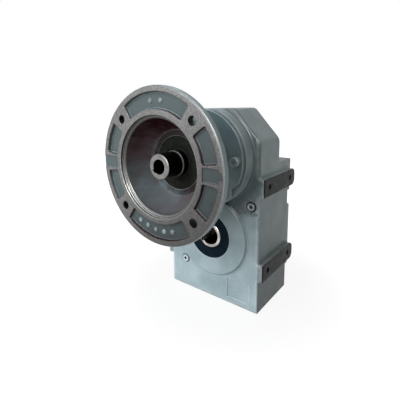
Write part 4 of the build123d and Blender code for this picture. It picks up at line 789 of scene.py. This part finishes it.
def bead(radius, thickness, y, sides=10):
    """Outline of a round ring."""
    return [(radius + thickness * math.cos(2 * math.pi * side / sides),
             y + thickness * math.sin(2 * math.pi * side / sides)) for side in range(sides + 1)]


navy_rubber = moulded_rubber("nitrile_rubber_navy", output_z, RUBBER_NAVY)
green_rubber = moulded_rubber("nitrile_rubber_green", input_z, RUBBER_GREEN)
dress(navy_rubber, "output_front_seal", "output_rear_seal")
dress(green_rubber, "input_seal")
output_seal_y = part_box("output_front_seal")[0].y * 1000
rear_seal_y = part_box("output_rear_seal")[1].y * 1000
input_seal_y = bell_floor_y * 1000
lathe("output_seal_dust_lip", bead(*OUTPUT_LIP, output_seal_y + DUST_LIP_SETBACK), (0.0, output_z),
      navy_rubber)
lathe("rear_seal_dust_lip", bead(*OUTPUT_LIP, rear_seal_y - DUST_LIP_SETBACK), (0.0, output_z), navy_rubber)
lathe("input_seal_dust_lip", bead(*INPUT_LIP, input_seal_y + DUST_LIP_SETBACK), (0.0, input_z),
      green_rubber)


# Hollow output shaft: turned and ground steel, bright on the outside, and in its keyed bore darkened with oil
# and painted black as shade.
# Turning leaves fine rings round the axis, which catch the light as a soft streak.
STEEL_BRIGHT = "#C6C3BE"
STEEL_TARNISH = "#8E8A85"
BORE_OIL_AND_SHADE = "#080706"
LATHE_FEED = 0.7
STEEL_STAIN = 7.0
SHAFT_ROUNDING = 0.5
OUTPUT_BORE_RADIUS = 15.2


def turned_steel(name, axis_z, dull, bright, roughness, bore=None):
    """Lathe-turned steel; the real feed marks are finer and are drawn coarse enough to show."""
    material = new_material(name)
    here = add_node(material, "ShaderNodeTexCoord", out="Object")
    depth = add_node(material, "ShaderNodeSeparateXYZ", {"Vector": here}, out="Y")
    radius = radius_about(material, here, axis_z)
    along = add_node(material, "ShaderNodeMath", {0: radius, 1: depth}, operation="ADD")
    feed = add_node(material, "ShaderNodeMath", {0: along, 1: per_mm(LATHE_FEED)}, operation="MULTIPLY")
    marks = add_node(material, "ShaderNodeTexNoise", {"W": feed, "Scale": 1.0, "Detail": 2.0},
                     noise_dimensions="1D")
    stain = add_node(material, "ShaderNodeTexNoise",
                     {"Vector": here, "Scale": per_mm(STEEL_STAIN), "Detail": 4.0})
    cloudy = add_node(material, "ShaderNodeMapRange", {"Value": stain, "From Min": 0.35, "From Max": 0.65})
    colour = add_node(material, "ShaderNodeMix", {0: cloudy, 6: linear(dull), 7: linear(bright)}, out=2,
                      data_type="RGBA")
    # The bore is painted near black, part oil and part shade.
    if bore:
        inside = add_node(material, "ShaderNodeMath", {0: radius, 1: mm(bore)}, operation="LESS_THAN")
        colour = add_node(material, "ShaderNodeMix", {0: inside, 6: colour, 7: linear(BORE_OIL_AND_SHADE)}, out=2,
                          data_type="RGBA")
    rounded = add_node(material, "ShaderNodeBevel", {"Radius": mm(SHAFT_ROUNDING)}, samples=6)
    rough = add_node(material, "ShaderNodeMapRange", {
        "Value": marks, "From Min": 0.3, "From Max": 0.7, "To Min": roughness[0], "To Max": roughness[1]})
    bump = add_node(material, "ShaderNodeBump", {
        "Height": marks, "Distance": mm(0.03), "Strength": 0.6, "Normal": rounded})
    finish_surface(material, colour, rough, 1.0, bump)
    return material


dress(turned_steel("turned_output_steel", output_z, STEEL_TARNISH, STEEL_BRIGHT, (0.2, 0.34),
                   OUTPUT_BORE_RADIUS), "output_shaft")


# Input shaft: case-hardened steel, near black on the outside. Its end face and the journal by the seal are
# ground bright. The motor's shaft slides into its keyed bore.
HARDENED_BLACK = "#0B0A0A"
HARDENED_BROWN = "#1A1715"
END_DULL = "#565553"
END_BRIGHT = "#85837F"
OXIDE_CLOUD = 5.0
END_FACE_DEPTH = 0.9
SHAFT_BORE_RADIUS = 9.7
JOURNAL_BAND = (10.2, 6.6)
shaft_end_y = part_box("input_shaft")[0].y
hardened = new_material("case_hardened_steel")
hardened_here = add_node(hardened, "ShaderNodeTexCoord", out="Object")
hardened_depth = add_node(hardened, "ShaderNodeSeparateXYZ", {"Vector": hardened_here}, out="Y")
hardened_radius = radius_about(hardened, hardened_here, input_z)
scale = add_node(hardened, "ShaderNodeTexNoise",
                 {"Vector": hardened_here, "Scale": per_mm(OXIDE_CLOUD), "Detail": 4.0})
end_face = add_node(hardened, "ShaderNodeMath", {0: hardened_depth, 1: shaft_end_y + mm(END_FACE_DEPTH)},
                    operation="LESS_THAN")
outside_bore = add_node(hardened, "ShaderNodeMath", {0: hardened_radius, 1: mm(SHAFT_BORE_RADIUS)},
                        operation="GREATER_THAN")
band_start = add_node(hardened, "ShaderNodeMath",
                      {0: hardened_depth, 1: bell_floor_y - mm(JOURNAL_BAND[0])},
                      operation="GREATER_THAN")
band_end = add_node(hardened, "ShaderNodeMath", {0: hardened_depth, 1: bell_floor_y - mm(JOURNAL_BAND[1])},
                    operation="LESS_THAN")
journal = add_node(hardened, "ShaderNodeMath", {0: band_start, 1: band_end}, operation="MULTIPLY")
ground = add_node(hardened, "ShaderNodeMath", {0: end_face, 1: journal}, operation="MAXIMUM")
ground = add_node(hardened, "ShaderNodeMath", {0: ground, 1: outside_bore}, operation="MULTIPLY")
black = add_node(hardened, "ShaderNodeMix",
                 {0: scale, 6: linear(HARDENED_BLACK), 7: linear(HARDENED_BROWN)},
                 out=2, data_type="RGBA")
ground_colour = add_node(hardened, "ShaderNodeMix", {0: scale, 6: linear(END_DULL), 7: linear(END_BRIGHT)},
                         out=2, data_type="RGBA")
hardened_colour = add_node(hardened, "ShaderNodeMix", {0: ground, 6: black, 7: ground_colour}, out=2,
                           data_type="RGBA")
hardened_round = add_node(hardened, "ShaderNodeBevel", {"Radius": mm(SHAFT_ROUNDING)}, samples=6)
hardened_bump = add_node(hardened, "ShaderNodeBump",
                         {"Height": scale, "Distance": mm(0.04), "Normal": hardened_round})
hardened_rough = add_node(hardened, "ShaderNodeMapRange", {"Value": ground, "To Min": 0.34, "To Max": 0.5})
finish_surface(hardened, hardened_colour, hardened_rough, 0.9, hardened_bump)
dress(hardened, "input_shaft")


# Gears, countershaft, keys and spacer: hobbed gear steel, grey-brown under a film of oil.
# They run out of sight inside the closed casing.
GEAR_GREY = "#77726B"
GEAR_OILED = "#5D564D"
dress(turned_steel("oiled_gear_steel", output_z, GEAR_OILED, GEAR_GREY, (0.2, 0.32)),
      "output_wheel", "output_key", "countershaft_wheel", "countershaft", "countershaft_key",
      "countershaft_spacer")


# Bearings, locating pins and retaining rings: ground bearing steel, bright and clean, and black spring steel.
# Each bearing's outer ring stays in the casing and its inner ring turns with its shaft.
BEARING_BRIGHT = "#BDBDBA"
BEARING_SHADE = "#A3A3A0"
SPRING_BLACK = "#232427"
SPRING_WORN = "#3A3B3E"
bearing_rings = [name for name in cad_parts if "_bearing_" in name]
dress(turned_steel("ground_bearing_steel", output_z, BEARING_SHADE, BEARING_BRIGHT, (0.16, 0.24)),
      "locating_pins", *bearing_rings)
dress(turned_steel("phosphated_spring_steel", input_z, SPRING_BLACK, SPRING_WORN, (0.4, 0.55)),
      "adapter_circlip", "input_circlip")


# Rear cover: a plain iron casting in the same enamel, screwed to the casing behind the output shaft.
# Only the face of the boss round the rear seal is left bare, where it was bored.
def bored_boss(material, here):
    """The boss's rear face."""
    depth = add_node(material, "ShaderNodeSeparateXYZ", {"Vector": here}, out="Y")
    return add_node(material, "ShaderNodeMath", {0: depth, 1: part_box("rear_cover")[1].y - mm(FACE_DEPTH)},
                    operation="GREATER_THAN")


cover_enamel = cast_enamel("enamelled_cover_casting", bored_boss, ENAMEL_PALE, ENAMEL_DEEP, FACED_IRON)
dress(cover_enamel, "rear_cover")


# Cast pips: plain round pips raised on the two iron castings and sprayed with them, rubbed a little paler.
# Two stand in the flange's top pocket, five in its bottom one and five in a short row under the filler plug.
PIP_ENAMEL = "#8E9A99"
PIP_PROFILE = ((1.0, 0.35), (0.8, 0.8), (0.4, 1.0), (0.0, 1.0))
PIP_SUNK = 0.3
FLANGE_PIP = (3.3, 1.7)
CASING_PIP = (2.5, 1.9)
POCKET_FLOOR = 4.5
POCKET_MIDDLE_RADIUS = 82.0
POCKET_PIP_ANGLES = (84.0, 96.0, -114.0, -104.0, -94.0, -84.0, -74.0)
CASING_PIPS = ((50.3, 46.9), (56.8, 47.2), (63.4, 46.8), (70.2, 45.8), (76.2, 47.0))


def pip(name, x, z, ground_y, radius, height):
    """A low round button that stands on a casting's face."""
    outline = [(radius, ground_y + PIP_SUNK)]
    outline += [(share * radius, ground_y - rise * height) for share, rise in PIP_PROFILE]
    lathe(name, outline, (x, z), pip_enamel)


pip_enamel = cast_enamel("enamelled_cast_pips", milled_pads, PIP_ENAMEL, POCKET_PAINT, FACED_IRON)
for number, angle in enumerate(POCKET_PIP_ANGLES, 1):
    pip("flange_pip_%d" % number, mm(POCKET_MIDDLE_RADIUS) * math.cos(math.radians(angle)),
        input_z + mm(POCKET_MIDDLE_RADIUS) * math.sin(math.radians(angle)),
        flange_face_y * 1000 + POCKET_FLOOR, *FLANGE_PIP)
for number, (x, z) in enumerate(CASING_PIPS, 1):
    pip("casing_pip_%d" % number, mm(x), mm(z), CASE_FRONT, *CASING_PIP)


# Studio: a plain pale floor under the casing's foot, a broad soft lamp high on the left, a weaker one low in
# front, a faint warm one on the right, and a narrow one above that which only glints on rounded edges. What
# the camera sees behind the object is white; the object itself gets no more light from that.
FLOOR_PALE = "#9E9E9D"
FLOOR_HALF_SIDE = 6.0
SHADOW_GROUND = (0.10, 0.34)
FLOOR_GLOW = 1.14
KEY_LAMP = {"toward": (-0.34, -0.88, 0.56), "distance": 1.9, "side": 1.2, "power": 33.0,
            "colour": "#EEF5FF"}
FRONT_LAMP = {"toward": (0.05, -0.98, 0.10), "distance": 1.6, "side": 1.0, "power": 15.0,
              "colour": "#EEF5FF"}
FILL_LAMP = {"toward": (0.92, -0.10, 0.55), "distance": 1.4, "side": 0.8, "power": 0.7, "colour": "#FFF4E8"}
STRIP_LAMP = {"toward": (0.60, -0.32, 0.73), "distance": 1.2, "side": 0.4, "power": 45.0,
              "colour": "#FFFFFF"}
AMBIENT = 0.15
middle = (cad_low + cad_high) / 2


def lamp(name, toward, distance, side, power, colour):
    """A square lamp that faces the middle of the object."""
    light = bpy.data.lights.new(name, "AREA")
    light.shape = "SQUARE"
    light.size = side
    light.energy = power
    light.color = linear(colour)[:3]
    lamp_object = bpy.data.objects.new(name, light)
    bpy.context.scene.collection.objects.link(lamp_object)
    direction = Vector(toward).normalized()
    lamp_object.location = middle + direction * distance
    lamp_object.rotation_mode = "QUATERNION"
    lamp_object.rotation_quaternion = direction.to_track_quat("Z", "Y")
    return lamp_object


def seen_directly(material):
    """1 for what the camera, a reflection or glass shows, and 0 for the light that is given off."""
    ray = add_node(material, "ShaderNodeLightPath").node
    seen = add_node(material, "ShaderNodeMath", {
        0: ray.outputs["Is Camera Ray"], 1: ray.outputs["Is Glossy Ray"]}, operation="MAXIMUM")
    return add_node(material, "ShaderNodeMath", {0: seen, 1: ray.outputs["Is Transmission Ray"]},
                    operation="MAXIMUM")


lamp("key_lamp", **KEY_LAMP)
lamp("front_lamp", **FRONT_LAMP)
lamp("fill_lamp", **FILL_LAMP)
lamp("strip_lamp", **STRIP_LAMP).visible_diffuse = False

floor_mesh = bpy.data.meshes.new("studio_floor")
floor_corners = [(x * FLOOR_HALF_SIDE, y * FLOOR_HALF_SIDE, cad_low.z)
                 for x, y in ((-1, -1), (1, -1), (1, 1), (-1, 1))]
floor_mesh.from_pydata(floor_corners, [], [(0, 1, 2, 3)])
floor = bpy.data.objects.new("studio_floor", floor_mesh)
bpy.context.scene.collection.objects.link(floor)
floor_paper = new_material("studio_paper")
floor_here = add_node(floor_paper, "ShaderNodeTexCoord", out="Object")
floor_reach = add_node(floor_paper, "ShaderNodeVectorMath", {0: floor_here, 1: (1.0, 1.0, 0.0)},
                       operation="MULTIPLY")
floor_reach = add_node(floor_paper, "ShaderNodeVectorMath", {0: floor_reach}, out="Value",
                       operation="LENGTH")
clear_share = add_node(floor_paper, "ShaderNodeMapRange", {
    "Value": floor_reach, "From Min": SHADOW_GROUND[0], "From Max": SHADOW_GROUND[1], "To Min": 0.8,
    "To Max": 1.0}, interpolation_type="SMOOTHSTEP")
floor_share = add_node(floor_paper, "ShaderNodeMath", {0: seen_directly(floor_paper), 1: clear_share},
                       operation="MULTIPLY")
floor_matt = add_node(floor_paper, "ShaderNodeBsdfDiffuse", {"Color": linear(FLOOR_PALE)})
floor_glow = add_node(floor_paper, "ShaderNodeEmission",
                      {"Color": linear("#FFFFFF"), "Strength": FLOOR_GLOW})
floor_mix = add_node(floor_paper, "ShaderNodeMixShader", {0: floor_share, 1: floor_matt, 2: floor_glow})
add_node(floor_paper, "ShaderNodeOutputMaterial", {"Surface": floor_mix})
floor_mesh.materials.append(floor_paper)

world = bpy.data.worlds.new("studio_room")
bpy.context.scene.world = world
world.use_nodes = True
world.node_tree.nodes.clear()
room_light = add_node(world, "ShaderNodeMapRange", {
    "Value": seen_directly(world), "To Min": AMBIENT, "To Max": 1.0})
room = add_node(world, "ShaderNodeBackground", {"Color": linear("#FFFFFF"), "Strength": room_light})
add_node(world, "ShaderNodeOutputWorld", {"Surface": room})


# Camera: the photograph's own view, worked out from the motor flange's circles and holes.
# Angles are in degrees round the vertical, above the horizon and about the line of sight.
CAMERA_PLACE = (275.66, -451.02, 200.94)
CAMERA_AZIMUTH = 40.22
CAMERA_ELEVATION = 9.52
CAMERA_ROLL = -1.17
LENS_PIXELS = 323.2
PHOTO_PIXELS = 400.0
OPTICAL_CENTRE = (180.5, 158.9)
azimuth = math.radians(CAMERA_AZIMUTH)
elevation = math.radians(CAMERA_ELEVATION)
roll = math.radians(CAMERA_ROLL)
backward = Vector((math.sin(azimuth) * math.cos(elevation), -math.cos(azimuth) * math.cos(elevation),
                   math.sin(elevation)))
level_right = (-backward).cross(Vector((0, 0, 1))).normalized()
level_up = level_right.cross(-backward)
right = level_right * math.cos(roll) + level_up * math.sin(roll)
up = level_up * math.cos(roll) - level_right * math.sin(roll)
camera_data = bpy.data.cameras.new("photo_camera")
camera_data.sensor_width = 36.0
camera_data.lens = camera_data.sensor_width * LENS_PIXELS / PHOTO_PIXELS
camera_data.shift_x = (PHOTO_PIXELS / 2 - OPTICAL_CENTRE[0]) / PHOTO_PIXELS
camera_data.shift_y = (OPTICAL_CENTRE[1] - PHOTO_PIXELS / 2) / PHOTO_PIXELS
camera = bpy.data.objects.new("photo_camera", camera_data)
bpy.context.scene.collection.objects.link(camera)
camera.matrix_world = (Matrix.Translation(Vector(CAMERA_PLACE) / 1000.0)
                       @ Matrix((right, up, backward)).transposed().to_4x4())
bpy.context.scene.camera = camera
